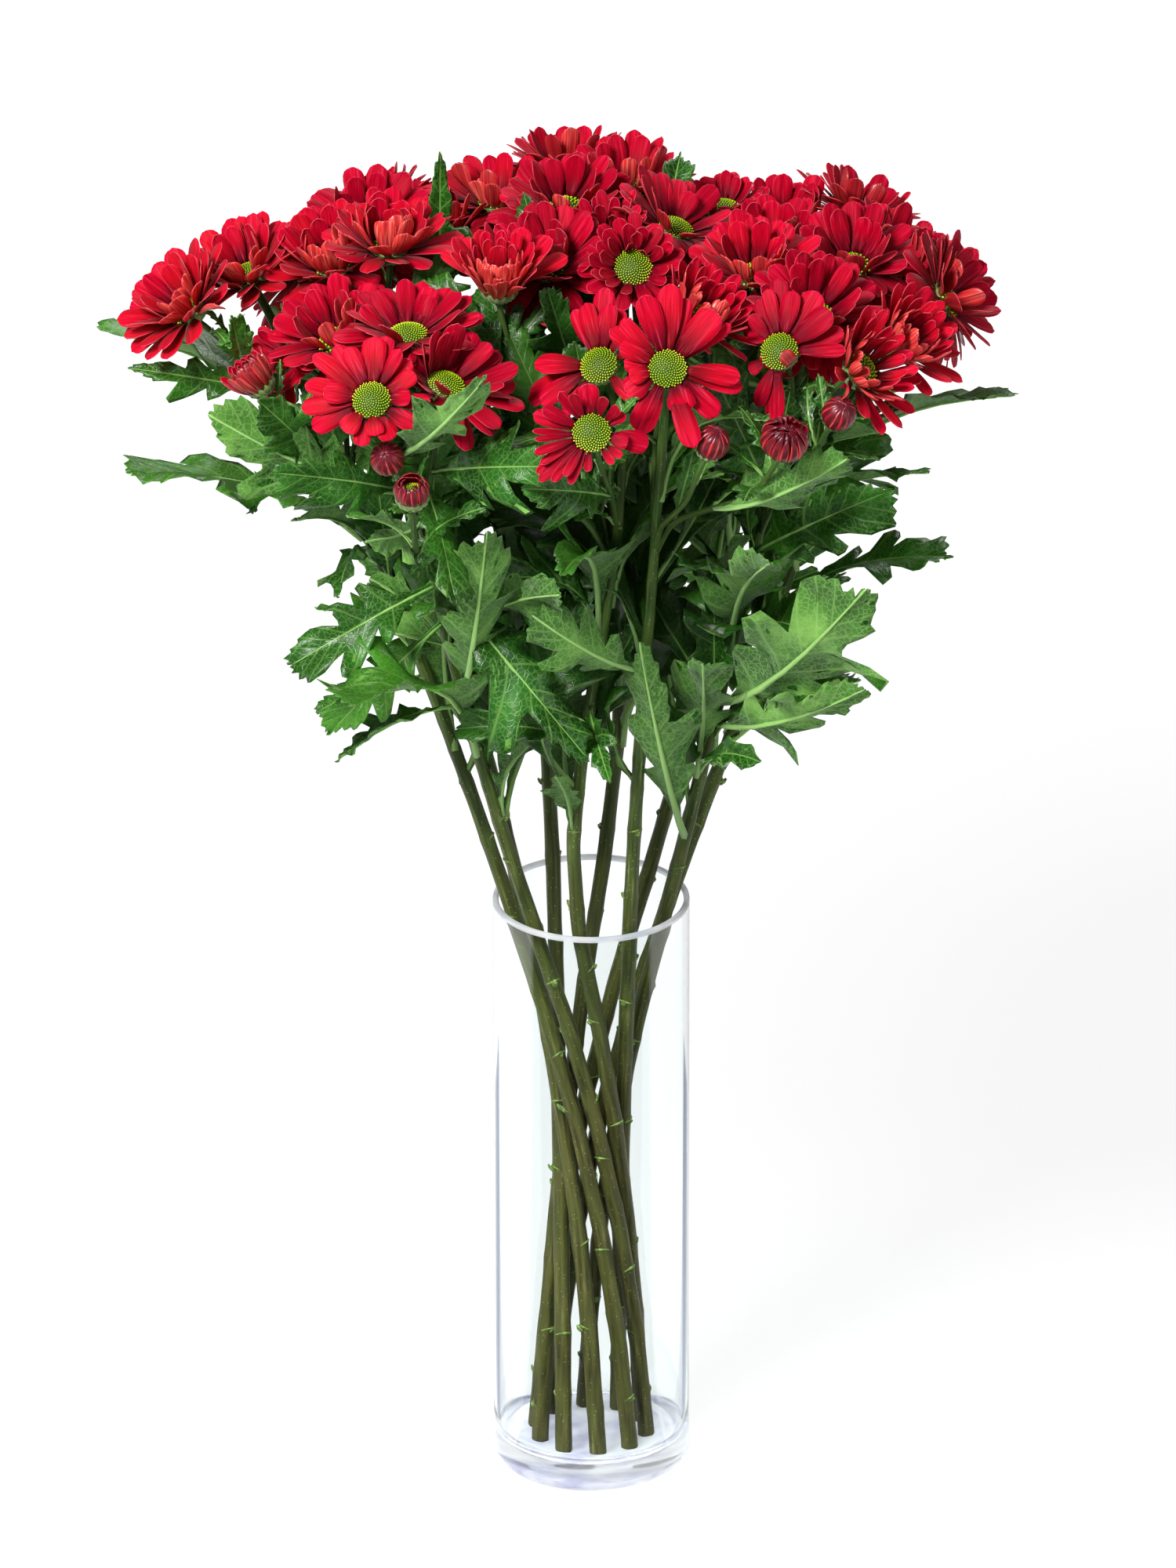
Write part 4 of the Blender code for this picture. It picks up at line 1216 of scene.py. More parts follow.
# Tube florets: waxy lime domes packed in spirals, over a darker green cushion.
FLORETS = 200
HIDDEN_FLORETS = 84
FLORET_FIELD = 9.3       # the disc's radius and height (mm)
DISC_HIGH = 4.0
FLORET_SIDES = 5
FLORET_RINGS = ((1.0, -0.3), (0.72, 0.7))    # shares of a floret's radius and height

lime, tree = new_material("lime tube floret")
_, at = marks_of(tree)
tone = add(tree, "ValToRGB", {0: at.outputs["X"]},
           stops=((0.0, "#86b00c"), (1.0, "#f0fa48"), (0.6, "#c4e81a")))
tip = add(tree, "MapRange", {"Value": at.outputs["Y"], "From Min": 0.2, "From Max": 1.0})
lit = add(tree, "Mix", {0: tip, 6: "#2c4a06", 7: tone}, data_type="RGBA")
where = add(tree, "TexCoord")
grain = add(tree, "TexNoise", {"Vector": where.outputs["Object"], "Scale": 900.0})
rough = add(tree, "MapRange", {"Value": grain, "To Min": 0.35, "To Max": 0.6})
face = add(tree, "BsdfPrincipled", {"Base Color": lit, "Roughness": rough,
                                    "Specular IOR Level": 0.15})
add(tree, "OutputMaterial", {"Surface": face})

# The cushion: dark green between the florets, so that each one shows.
cushion, tree = new_material("green disc cushion")
where = add(tree, "TexCoord")
grain = add(tree, "TexNoise", {"Vector": where.outputs["Object"], "Scale": 700.0})
tone = add(tree, "ValToRGB", {0: grain}, stops=((0.3, "#1c3004"), (0.7, "#3c5808")))
face = add(tree, "BsdfPrincipled", {"Base Color": tone, "Roughness": 0.7})
add(tree, "OutputMaterial", {"Surface": face})


def floret(middle, out, size, high, tint):
    """One tube floret: a small five-sided dome that stands square to the cushion."""
    side = out.orthogonal().normalized()
    other = out.cross(side)
    points = []
    marks = []
    for radius, level in FLORET_RINGS:
        for step in range(FLORET_SIDES):
            turn = math.tau * step / FLORET_SIDES
            points.append(middle + (side * math.cos(turn) + other * math.sin(turn))
                          * size * radius + out * high * level)
            marks.append((tint, max(0.0, level), 0.0, 0.0))
    points.append(middle + out * high)
    marks.append((tint, 1.0, 0.0, 0.0))
    foot = list(range(FLORET_SIDES))
    sides = list(zip(foot, foot[1:] + foot[:1]))
    faces = [(a, b, FLORET_SIDES + b, FLORET_SIDES + a) for a, b in sides]
    faces += [(FLORET_SIDES + a, FLORET_SIDES + b, len(points) - 1) for a, b in sides]
    faces.append(tuple(foot[::-1]))
    return points, faces, marks


def disc_of(place, size, rng, florets):
    """The cushion and its florets, in a sunflower spiral."""
    parts = []
    bowl = [(0, DISC_HIGH * size)]
    bowl += [(FLORET_FIELD * size * r, DISC_HIGH * size * (1 - r * r))
             for r in (0.3, 0.55, 0.78, 0.95)]
    bowl += [(FLORET_FIELD * size * 1.02, -0.6), (FLORET_FIELD * size * 0.9, -2.5), (0, -2.6)]
    points, faces = turned(bowl[::-1], 20)
    points = [place.middle + place.turn @ Vector(point) for point in points]
    parts.append((0, (points, faces, [(0.5, 0.0, 0.0, 0.0)] * len(points))))
    count = int(florets * size)
    painted_lit_side = rng.random() * math.tau
    for number in range(count):
        part = math.sqrt((number + 0.5) / count)
        turn = number * GOLDEN
        radius = FLORET_FIELD * size * part
        high = DISC_HIGH * size * (1 - part * part)
        stands = Vector((radius * math.cos(turn), radius * math.sin(turn), high)) * MM
        slope = 2 * DISC_HIGH / FLORET_FIELD * part
        out = Vector((math.cos(turn) * slope, math.sin(turn) * slope, 1)).normalized()
        wide = (0.43 + 0.14 * part) * MM * math.sqrt(size * FLORETS / florets)
        tall = (0.55 + 0.55 * part) * MM
        # Painted highlight: the florets on one side of each disc are paler, as if lit from there.
        tint = 0.35 + 0.4 * part + 0.25 * math.cos(turn - painted_lit_side) * part
        tint += rng.uniform(-0.12, 0.12)
        parts.append((1, floret(place.middle + place.turn @ stands, place.turn @ out, wide,
                                tall, tint)))
    return joined(parts)


# Green scales: narrow leaf-like bracts lapped in three rows into a cup, softly hairy.
bract, tree = new_material("green cup scale")
_, at = marks_of(tree)
where = add(tree, "TexCoord")
grain = add(tree, "TexNoise", {"Vector": where.outputs["Object"], "Scale": 350.0, "Detail": 3.0})
tone = add(tree, "ValToRGB", {0: grain}, stops=((0.3, "#3d5f22"), (0.7, "#7d9a4c")))
tip = add(tree, "Mix", {0: at.outputs["Y"], 6: tone, 7: "#8fa85c"}, data_type="RGBA")
relief = add(tree, "Bump", {"Height": grain, "Strength": 0.4, "Distance": 0.0003})
face = add(tree, "BsdfPrincipled", {"Base Color": tip, "Roughness": 0.65, "Normal": relief,
                                    "Sheen Weight": 0.15})
add(tree, "OutputMaterial", {"Surface": face})
# The cup's outline, as radius and height (mm).
CUP = ((2.2, -9.3), (4.6, -8.6), (7.0, -6.9), (8.9, -4.4), (9.6, -1.6), (9.2, 0.2))
# Each row's count of scales, their length (mm) and how far up the cup they begin.
SCALE_ROWS = ((14, 7.4, 0.34), (13, 6.6, 0.17), (11, 5.6, 0.0))
SCALE_HALF = 1.75        # half a scale's width (mm), and its share at each step to the tip
SCALE_TAPER = (0.75, 1.0, 0.9, 0.6, 0.12)
PAST_CUP = 1.18          # how far the longest scales may reach past the cup's edge


def cup_of(place, size, rng):
    """The scale cup: a turned bowl under three rows of lapped scales."""
    lengths = [0.0]
    for a, b in zip(CUP, CUP[1:]):
        lengths.append(lengths[-1] + math.dist(a, b))

    def cup_at(way):
        way = min(max(way, 0.0), PAST_CUP) * lengths[-1]
        for number, (a, b) in enumerate(zip(CUP, CUP[1:])):
            if way <= lengths[number + 1] or number == len(CUP) - 2:
                part = (way - lengths[number]) / (lengths[number + 1] - lengths[number])
                slope = Vector((b[0] - a[0], b[1] - a[1])).normalized()
                return (Vector(a).lerp(Vector(b), part) * size, Vector((slope.y, -slope.x)))

    bowl = [(0, CUP[0][1] * size)] + [(r * size, h * size) for r, h in CUP]
    bowl += [(7.5 * size, -0.8 * size), (0, -1.2 * size)]
    points, faces = turned(bowl, 18)
    parts = [(0, ([place.middle + place.turn @ Vector(point) for point in points], faces,
                  [(0.0, 0.2, 0.0, 0.0)] * len(points)))]
    for count, length, begin in SCALE_ROWS:
        start = rng.random() * math.tau
        for number in range(count):
            turn = start + math.tau * (number + rng.uniform(-0.12, 0.12)) / count
            points = []
            marks = []
            long = length * rng.uniform(0.85, 1.12) / lengths[-1]
            half = SCALE_HALF * rng.uniform(0.85, 1.15)
            for step, share in enumerate(SCALE_TAPER):
                part = step / (len(SCALE_TAPER) - 1)
                (radius, high), out = cup_at(begin + long * part)
                lifted = 0.35 + 0.5 * part ** 2 * rng.uniform(0.4, 1.2)
                wide = half * size * share
                for across in (-1, 0, 1):
                    push = lifted - 0.35 * abs(across)
                    angle = turn + across * wide / max(radius, 2.0)
                    reach = radius + out.x * push
                    points.append(place.middle + place.turn @ (Vector((
                        math.cos(angle) * reach, math.sin(angle) * reach,
                        high + out.y * push)) * MM))
                    marks.append((0.0, part * 0.7, 0.0, 0.0))
            faces = []
            for step in range(len(SCALE_TAPER) - 1):
                for column in range(2):
                    a = step * 3 + column
                    faces.append((a, a + 1, a + 4, a + 3))
            parts.append((0, (points, faces, marks)))
    return joined(parts)


SMALL = {"bud": 0.72, "opening": 0.8, "ring": 0.86, "quills": 0.8}
CROWDED = ("up", "curl", "cup", "half")      # forms whose inner rays hide most of the disc
head_forms = []


def make_head(name, place, form, node=None):
    """The three pieces of a head: its rays, its disc, and its scale cup."""
    rng = random.Random(name)
    small = SMALL.get(form, 1.0)
    points, faces, marks, looks = rays_of(name, place, form, rng)
    rays = new_object(name + "_rays", points, faces, [velvet, salmon, edging], looks, marks)
    florets = HIDDEN_FLORETS if form in CROWDED else FLORETS
    points, faces, marks, looks = disc_of(place, small, rng, florets)
    disc = new_object(name + "_disc", points, faces, [cushion, lime], looks, marks)
    points, faces, marks, _ = cup_of(place, small, rng)
    cup = new_object(name + "_cup", points, faces, [bract], None, marks)
    for piece, slot_name in ((rays, "bud_maroon" if form == "bud" else "petal_red"),
                             (disc, "leaf_green"), (cup, "leaf_green")):
        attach(piece, "root")
        if node:
            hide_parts(node)
        head_forms.append((place.middle, surface_of(piece.data)))


for name in head_names:
    place = nodding(name, places[name]) if name.startswith("bloom") else places[name]
    make_head(name, place, HEAD_FORMS.get(name, "up"), name)

# Four more heads fill the gaps between the others, each on a thin stalk of its own.
Extra = namedtuple("Extra", "name x y z lean tilt form")
EXTRAS = (
    Extra("bloom_39", -13, 71, 666, -95, 12, "up"),
    Extra("bloom_40", 66, 94, 655, -90, 5, "short"),
    Extra("bloom_41", -150, -20, 626, -170, 50, "narrow"),
    Extra("bud_06", -101, -118, 613, -100, 50, "bud"),
)
EXTRA_RISE = 20
EXTRA_SEAT = 0.8         # the share of the seat's depth at which their stalks end
STALK_DROP = 75 * MM
STALK_STEPS = 18
STALK_OUT = 26           # how far (mm) a stalk goes straight where it leaves the stem
STALK_IN = 22            # and where it meets the head
rng = random.Random(3)
for extra in EXTRAS:
    lean, tilt = math.radians(extra.lean), math.radians(extra.tilt)
    axis = Vector((math.sin(tilt) * math.cos(lean), math.sin(tilt) * math.sin(lean),
                   math.cos(tilt)))
    middle = Vector((extra.x, extra.y, extra.z)) * MM
    place = Place(middle, axis, EXTRA_RISE, axis.to_track_quat("Z", "Y").to_matrix())
    make_head(extra.name, place, extra.form)
    seat = middle - axis * SEAT_DEPTH * EXTRA_SEAT
    foot = min((point for line, _, _ in stems.values() for point in line),
               key=lambda point: (point - seat + UP * STALK_DROP).length)
    way_in = seat - axis * STALK_IN * MM
    way_out = foot + UP * STALK_OUT * MM
    line = []
    for step in range(STALK_STEPS + 1):
        part = step / STALK_STEPS
        line.append(foot * (1 - part) ** 3 + way_out * 3 * part * (1 - part) ** 2
                    + way_in * 3 * part ** 2 * (1 - part) + seat * part ** 3)
    radii = [STALK_RADIUS] * len(line)
    points, faces, marks = tube(line, radii, STALK_SIDES, STALK_RIBS, rng)
    piece = new_object(extra.name + "_stalk", points, faces, [bark], None, marks)
    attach(piece, "root")


# ------------------------------------------------------------------ the leaves
# Lobed chrysanthemum leaves: a pair of small lobes, a pair of large ones and a toothed end
# lobe, on a winged stalk. They grow in a spiral round the stem, one at each joint.

LEAF_ROWS = 32
LEAF_COLUMNS = 4         # on each side of the midrib
SMALL_ROWS = 20
SMALL_COLUMNS = 3
LEAF_THICK = 0.4 * MM
SMALL_THIN = 0.7
TOOTH_ROWS = 3
TOOTH_DEEP = 0.05
TOOTHED = (0.26, 0.97)   # the part of the midrib whose veins end in teeth
RIB_PARTS = (0.0, 0.1, 0.2, 0.35, 0.5, 0.65, 0.8, 0.93)
RIB_SIDES = 6
RIB_LEAST = 0.25 * MM    # its radius at the tip, and its share of the leaf's length at the foot
RIB_SHARE = 0.016
# How far the side veins reach (as part of the leaf's length), by where they leave the midrib.
REACH = ((0.0, 0.014), (0.16, 0.02), (0.26, 0.045), (0.30, 0.11), (0.335, 0.20),
         (0.37, 0.17), (0.41, 0.08), (0.45, 0.17), (0.50, 0.29), (0.55, 0.25),
         (0.60, 0.105), (0.65, 0.17), (0.70, 0.21), (0.78, 0.165), (0.86, 0.12),
         (0.93, 0.07), (1.0, 0.012))
FORWARD = ((0.0, 86), (0.2, 78), (0.3, 66), (0.5, 50), (0.75, 36), (1.0, 22))
# Which of the four lobes a vein is on, from the stalk to the tip.
LOBES = ((0.0, 0), (0.36, 0), (0.42, 1), (0.57, 1), (0.63, 2), (0.8, 2), (0.9, 3), (1.0, 3))
MAIN_VEINS = (0.31, 0.49, 0.63, 0.72, 0.81)
VEIN_HALF = 0.008


def leaf_sheet(base, tip, face, look, rng, rows, columns):
    """A leaf as a sheet, from its joint to its tip, with its upper side towards face. look
    gives its width, how far its middle bows up, its fold, its twist and its waviness. Its
    marks are the place across (mm) and along it, its own shade, and how near its edge it is."""
    chord = tip - base
    length = chord.length
    way = chord.normalized()
    face = (face - way * face.dot(way)).normalized()
    wide, bow, fold, twist, wavy = look
    phase = rng.random() * math.tau
    sides = [[rng.uniform(0.62, 1.25) for _ in range(4)] for _ in range(2)]
    shifts = [rng.uniform(-0.035, 0.035) for _ in range(2)]
    teeth = [[rng.uniform(0.2, 1.0) for _ in range(rows)] for _ in range(2)]
    curl = rng.uniform(-0.5, 1.1)
    shade = rng.random()

    def rib(part):
        """The midrib's point and frame at part of its length."""
        lifted = bow * length * 4 * part * (1 - part) * (1.2 - 0.4 * part)
        slope = bow * 4 * (1 - 2 * part)
        ahead = (way + face * slope).normalized()
        point = base + way * length * part + face * lifted
        up = (face - ahead * face.dot(ahead)).normalized()
        up = Matrix.Rotation(math.radians(twist) * part, 3, ahead) @ up
        return point, up, ahead.cross(up)

    points = []
    marks = []
    for row in range(rows + 1):
        part = row / rows
        if rows == LEAF_ROWS:
            part = part ** 0.93
        lean = math.radians(between(FORWARD, part))
        saw = ((row % TOOTH_ROWS) / TOOTH_ROWS - 0.4) * TOOTH_DEEP
        if not TOOTHED[0] < part < TOOTHED[1]:
            saw = 0.0
        for number, side in enumerate((-1, 1)):
            lobe = between(LOBES, part)
            first = sides[number][int(lobe)]
            second = sides[number][min(3, int(lobe) + 1)]
            stretch = first + (second - first) * (lobe % 1)
            reach = between(REACH, part + shifts[number] * math.sin(math.pi * part))
            tooth = saw * teeth[number][row // TOOTH_ROWS]
            for column in range(columns, 0, -1) if side < 0 else range(columns + 1):
                out = column / columns
                far = (reach * stretch * wide + tooth * wide) * out
                far_side = math.sin(lean) * far
                at_part = part + math.cos(lean) * far
                point, up, right = rib(at_part)
                x = far_side * length
                swell = math.sin(phase + at_part * 14 + side * 1.3) * wavy
                swell += math.sin(phase * 3 + at_part * 37) * 0.10 * out
                z = abs(x) * math.sin(math.radians(fold)) + swell * abs(far_side) * length
                z -= curl * x * x / (0.3 * length)
                vein = min(abs(part - v) for v in MAIN_VEINS)
                z += 0.012 * length * min(1.0, vein / 0.05) * (1 - out) * out * 2
                z += noise.noise((point + up * phase) * 45) * 2.4 * MM * out
                points.append(point + right * side * x * math.cos(math.radians(fold)) + up * z)
                marks.append((side * far * length / MM, part, shade, out))
    ribline = [rib(part)[0] - rib(part)[1] * 0.5 * MM for part in RIB_PARTS]
    return points, marks, ribline


def veins_of(tree, at, where, midrib, net):
    """How far each place of a leaf is vein: its midrib, its side veins and the net between
    them. midrib and net give where each fades out and in, and how strong it is."""
    away = add(tree, "Math", {0: at.outputs["X"]}, operation="ABSOLUTE")
    middle = add(tree, "MapRange", {"Value": away, "From Min": midrib[0], "From Max": midrib[1],
                                    "To Max": midrib[2]})
    stops = [(0.0, "#000000"), (1.0, "#000000")]
    for vein in MAIN_VEINS:
        stops += [(vein - VEIN_HALF, "#000000"), (vein, "#b4b4b4"), (vein + VEIN_HALF, "#000000")]
    sides = add(tree, "ValToRGB", {0: at.outputs["Y"]}, stops=stops)
    # The net of small veins has meshes about 3 mm wide.
    cells = add(tree, "TexVoronoi", {"Vector": where.outputs["Object"], "Scale": 330.0},
                feature="DISTANCE_TO_EDGE")
    fine = add(tree, "MapRange", {"Value": cells, "From Min": net[0], "From Max": 0.0,
                                  "To Max": net[1]})
    veins = add(tree, "Math", {0: middle, 1: sides}, operation="MAXIMUM")
    return add(tree, "Math", {0: veins, 1: fine}, operation="MAXIMUM")


def painted_shade_in_bunch(tree, where, colour, dark):
    """The colour of a leaf with painted shade, which darkens it deep in the bunch."""
    level_at = add(tree, "VectorMath", {0: where.outputs["Object"], 1: (1, 1, 0)},
                   operation="MULTIPLY")
    from_axis = add(tree, "VectorMath", {0: level_at}, operation="LENGTH")
    deep = add(tree, "MapRange", {"Value": from_axis, "From Min": 0.1, "From Max": 0.03,
                                  "To Max": 0.62})
    return add(tree, "Mix", {0: deep, 6: colour, 7: dark}, data_type="RGBA")


# Leaf, upper side: dark satin green, paler along its sunken veins, softly quilted between
# them, so the highlights break up.
blade, tree = new_material("dark upper side of a leaf")
_, at = marks_of(tree)
where = add(tree, "TexCoord")
veins = veins_of(tree, at, where, (0.9, 0.4, 0.8), (0.09, 0.28))
cloud = add(tree, "TexNoise", {"Vector": where.outputs["Object"], "Scale": 28.0, "Detail": 4.0})
green = add(tree, "ValToRGB", {0: cloud},
            stops=((0.3, "#0d2c0a"), (0.74, "#388020"), (0.52, "#1d5412")))
leafwise = add(tree, "MapRange", {"Value": at.outputs["Z"], "From Min": 0.45, "From Max": 1.0,
                                  "To Max": 0.55})
tinted = add(tree, "Mix", {0: leafwise, 6: green, 7: "#549a2c"}, data_type="RGBA")
veined = add(tree, "Mix", {0: veins, 6: tinted, 7: "#8cbc5c"}, data_type="RGBA")
# Painted shade darkens the upper sides of the leaves deep in the bunch.
colour = painted_shade_in_bunch(tree, where, veined, "#0a1a06")
sunken = add(tree, "Math", {0: veins, 1: -1.0}, operation="MULTIPLY")
relief = add(tree, "Bump", {"Height": sunken, "Strength": 0.5, "Distance": 0.0005})
rough = add(tree, "MapRange", {"Value": cloud, "To Min": 0.22, "To Max": 0.46})
face = add(tree, "BsdfPrincipled", {"Base Color": colour, "Roughness": rough, "Normal": relief,
                                    "Specular IOR Level": 0.4})
let_through(tree, face, "#8cc832", 0.17)

# Leaf, underside: matt grey-green under short silvery hairs, with raised pale veins.
under, tree = new_material("pale hairy underside of a leaf")
_, at = marks_of(tree)
where = add(tree, "TexCoord")
veins = veins_of(tree, at, where, (1.4, 0.6, 1.0), (0.1, 0.4))
cloud = add(tree, "TexNoise", {"Vector": where.outputs["Object"], "Scale": 36.0, "Detail": 5.0})
green = add(tree, "ValToRGB", {0: cloud},
            stops=((0.3, "#285414"), (0.74, "#7ab04c"), (0.52, "#447a24")))
veined = add(tree, "Mix", {0: veins, 6: green, 7: "#98c86c"}, data_type="RGBA")
# Painted shade darkens the undersides of the leaves deep in the bunch.
colour = painted_shade_in_bunch(tree, where, veined, "#16280e")
relief = add(tree, "Bump", {"Height": veins, "Strength": 0.6, "Distance": 0.0006})
face = add(tree, "BsdfPrincipled", {"Base Color": colour, "Roughness": 0.68, "Normal": relief,
                                    "Specular IOR Level": 0.3, "Sheen Weight": 0.2,
                                    "Sheen Roughness": 0.5})
let_through(tree, face, "#8cc832", 0.17)

ROUGH_ROWS = 12
ROUGH_COLUMNS = 2
JOINT_FACES = 8          # the first faces of a rough leaf touch its own stem
FRONT_JOINT_FACES = 2
TO_ROOM = Vector((0, -0.9, 0.43))
SIGHT_FAR = 110 * MM
SIGHT_WIDE = 20 * MM
leaf_trees = []
open_heads = [places[name] for name in head_names
              if HEAD_FORMS.get(name) not in (None, "bud", "opening")]
# The stem that stands in front of the others is seen from the vase to its head.
FRONT_STEM = [point for point in stems["stem_08"][0] if point.z > 300 * MM][::4]
FRONT_STEM_WIDE = 9 * MM
NEAR_FRONT_STEM = 60 * MM
# How high the crown is seen to reach, by how far to the right (mm).
CROWN = ((-240, 560), (-200, 585), (-157, 612), (-134, 636), (-100, 648), (-35, 655), (12, 660),
         (45, 640), (124, 636), (150, 618), (177, 592), (200, 570), (240, 550))
MOST_HIDDEN = 5
LEAVES_FROM = 325 * MM   # no leaf is seen lower than this, and no tip lower than that
TIPS_FROM = LEAVES_FROM - 8 * MM
# How far out from the middle the leaves reach (mm), by height (mm).
OUTLINE = ((340, 38), (380, 75), (430, 118), (480, 142), (520, 160), (700, 185))
TOO_FAR = 32 * MM        # a leaf that reaches this far past the outline is shorter
PULLED_IN = 0.6
NEAR_HEAD = 100 * MM
NEAR_LEAF = 110 * MM
# What counts how much against a place for a leaf. Each leaf that it runs into counts 1.
PAST_OUTLINE = 0.6
PAST_CROWN = 2
BEFORE_HEAD = 0.8
BEFORE_STEM = 1.5
INTO_HEAD = 0.4
INTO_STEM = 0.5
SHORTER = (1.0, 0.82, 0.66, 0.52, 0.4)
FORWARDS = (0, 7, -7, 14, -14, 21, -21, 28, -28, 36, -36)


def rough_leaf(base, tip, face, look):
    """A leaf with few points, to try where it fits."""
    points, _, _ = leaf_sheet(base, tip, face, look, random.Random(1), ROUGH_ROWS, ROUGH_COLUMNS)
    return points, shell_faces(len(points), 2 * ROUGH_COLUMNS + 1)[2]


def outline_at(height):
    """How far out from the middle the leaves reach at a height."""
    return between(OUTLINE, height / MM) * MM


def over_crown(point):
    """Whether a point is seen above the crown of heads."""
    return point.dot(SEEN_UP) > between(CROWN, point.x / MM) * MM


def hidden_by(points):
    """How often a rough leaf's points stand before the front stem."""
    count = 0
    for point in points:
        if abs(point.x - FRONT_STEM[-1].x) < NEAR_FRONT_STEM:
            for stop in FRONT_STEM:
                way = point - stop
                ahead = way.dot(TO_ROOM)
                if ahead > 0 and (way - TO_ROOM * ahead).length < FRONT_STEM_WIDE:
                    count += 1
    return count


def crossings(form, middle, surfaces, near):
    """How often a rough leaf runs into those of these surfaces that are near it."""
    return sum(len(form.overlap(surface)) for centre, surface in surfaces
               if (centre - middle).length < near)


def in_heads(points, faces, first):
    """How many faces of a rough leaf, from the first that counts, run into the finished
    heads."""
    form = BVHTree.FromPolygons(points, faces[first:])
    return crossings(form, sum(points, Vector()) / len(points), head_forms, NEAR_HEAD)


def cost(points, faces):
    """How many faces of a rough leaf run into heads, stems and the leaves already there,
    and how many of its points reach out too far or stand before an open head."""
    outside = sum(point.xy.length > outline_at(point.z) for point in points) * PAST_OUTLINE
    outside += sum(over_crown(point) for point in points) * PAST_CROWN
    outside += sum(point.dot(SEEN_UP) < LEAVES_FROM for point in points)
    for place in open_heads:
        for point in points:
            way = point - place.middle
            if way.length < SIGHT_FAR:
                for sight in (place.axis, TO_ROOM):
                    ahead = way.dot(sight)
                    if ahead > 0 and (way - sight * ahead).length < SIGHT_WIDE:
                        outside += BEFORE_HEAD
    outside += hidden_by(points) * BEFORE_STEM
    form = BVHTree.FromPolygons(points, faces[JOINT_FACES:])
    middle = sum(points, Vector()) / len(points)
    hits = outside + in_heads(points, faces, JOINT_FACES) * INTO_HEAD
    hits += sum(len(form.overlap(surface)) for surface in stem_trees) * INTO_STEM
    return hits + crossings(form, middle, leaf_trees, NEAR_LEAF)


def make_leaf(name, base, tip, face, look, rng, node=None, small=False):
    """One leaf, with its midrib and stalk as a tapered cord under the blade."""
    rows, columns = (SMALL_ROWS, SMALL_COLUMNS) if small else (LEAF_ROWS, LEAF_COLUMNS)
    points, marks, ribline = leaf_sheet(base, tip, face, look, rng, rows, columns)
    shell = thickened(points, marks, 2 * columns + 1, LEAF_THICK * (SMALL_THIN if small else 1))
    length = (tip - base).length
    radii = [max(RIB_LEAST, length * RIB_SHARE * (1 - part) ** 0.8) for part in RIB_PARTS]
    looks = [min(number, 1) for number in shell[3]]      # its rim is like its back
    midrib = tube(ribline, radii, RIB_SIDES, 0.0, rng)
    points, faces, marks, looks = joined([(looks, shell), (1, midrib)])
    piece = new_object(name, points, faces, [blade, under], looks, marks)
    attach(piece, "root")
    if node:
        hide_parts(node)
    form_points, form_faces = rough_leaf(base, tip, face, look)
    middle = sum(form_points, Vector()) / len(form_points)
    leaf_trees.append((middle, BVHTree.FromPolygons(form_points, form_faces)))


def grow_leaf(name, base, turn, climb, length, look, tries, small=False):
    """Tries a leaf in several directions round its own, and keeps the clearest. One that
    would run into a head is smaller, and one that nothing can clear is left out."""
    rng = random.Random(name)
    best = None
    for number in range(tries):
        heading = turn + rng.uniform(-0.25, 0.25) * (1 + number * 0.5)
        rise = math.radians(climb + rng.uniform(-14, 14) * (1 + number * 0.3))
        out = outward(heading)
        tip = base + (out * math.cos(rise) + UP * math.sin(rise)) * length
        face = UP * math.cos(rise) - out * math.sin(rise)
        face = Matrix.Rotation(rng.gauss(0, 0.35), 3, (tip - base).normalized()) @ face
        hits = cost(*rough_leaf(base, tip, face, look))
        if best is None or hits < best[0]:
            best = (hits, tip, face)
        if not hits:
            break
    if best[1].xy.length > outline_at(best[1].z) + TOO_FAR:
        best = (best[0], base.lerp(best[1], PULLED_IN), best[2])
    for share in SHORTER:
        tip = base.lerp(best[1], share)
        points, faces = rough_leaf(base, tip, best[2], look)
        if not in_heads(points, faces, JOINT_FACES):
            break
    else:
        return
    low = tip.dot(SEEN_UP) < TIPS_FROM
    if low or over_crown(tip) or hidden_by(points) > MOST_HIDDEN:
        return
    make_leaf(name, base, tip, best[2], look, rng, None, small)


# The six furthest leaves have CAD solids, so their joints and tips are read from those.
LEAF_END = 1.5 * MM      # points this near the furthest belong to an end


def ends_of(node):
    """The joint and tip of a CAD leaf: its ends, with the joint nearer to a stem."""
    points = np.array([vertex.co for vertex in node.data.vertices])
    centre = points.mean(axis=0)
    _, _, ways = np.linalg.svd(points - centre, full_matrices=False)
    along = (points - centre) @ ways[0]
    ends = [Vector(points[along > along.max() - LEAF_END].mean(axis=0)),
            Vector(points[along < along.min() + LEAF_END].mean(axis=0))]
    ends.sort(key=lambda end: min(surface.find_nearest(end)[3] for surface in stem_trees))
    return ends


rng = random.Random(5)
for node_name in sorted(name for name in nodes if name.startswith("leaf")):
    joint, tip = ends_of(nodes[node_name])
    out = (tip - joint).normalized()
    look = (1.1, 0.09, 16, rng.uniform(-20, 20), 0.16)
    make_leaf(node_name + "_blade", joint, tip, UP - out * UP.dot(out) * 0.5, look, rng,
              node_name)

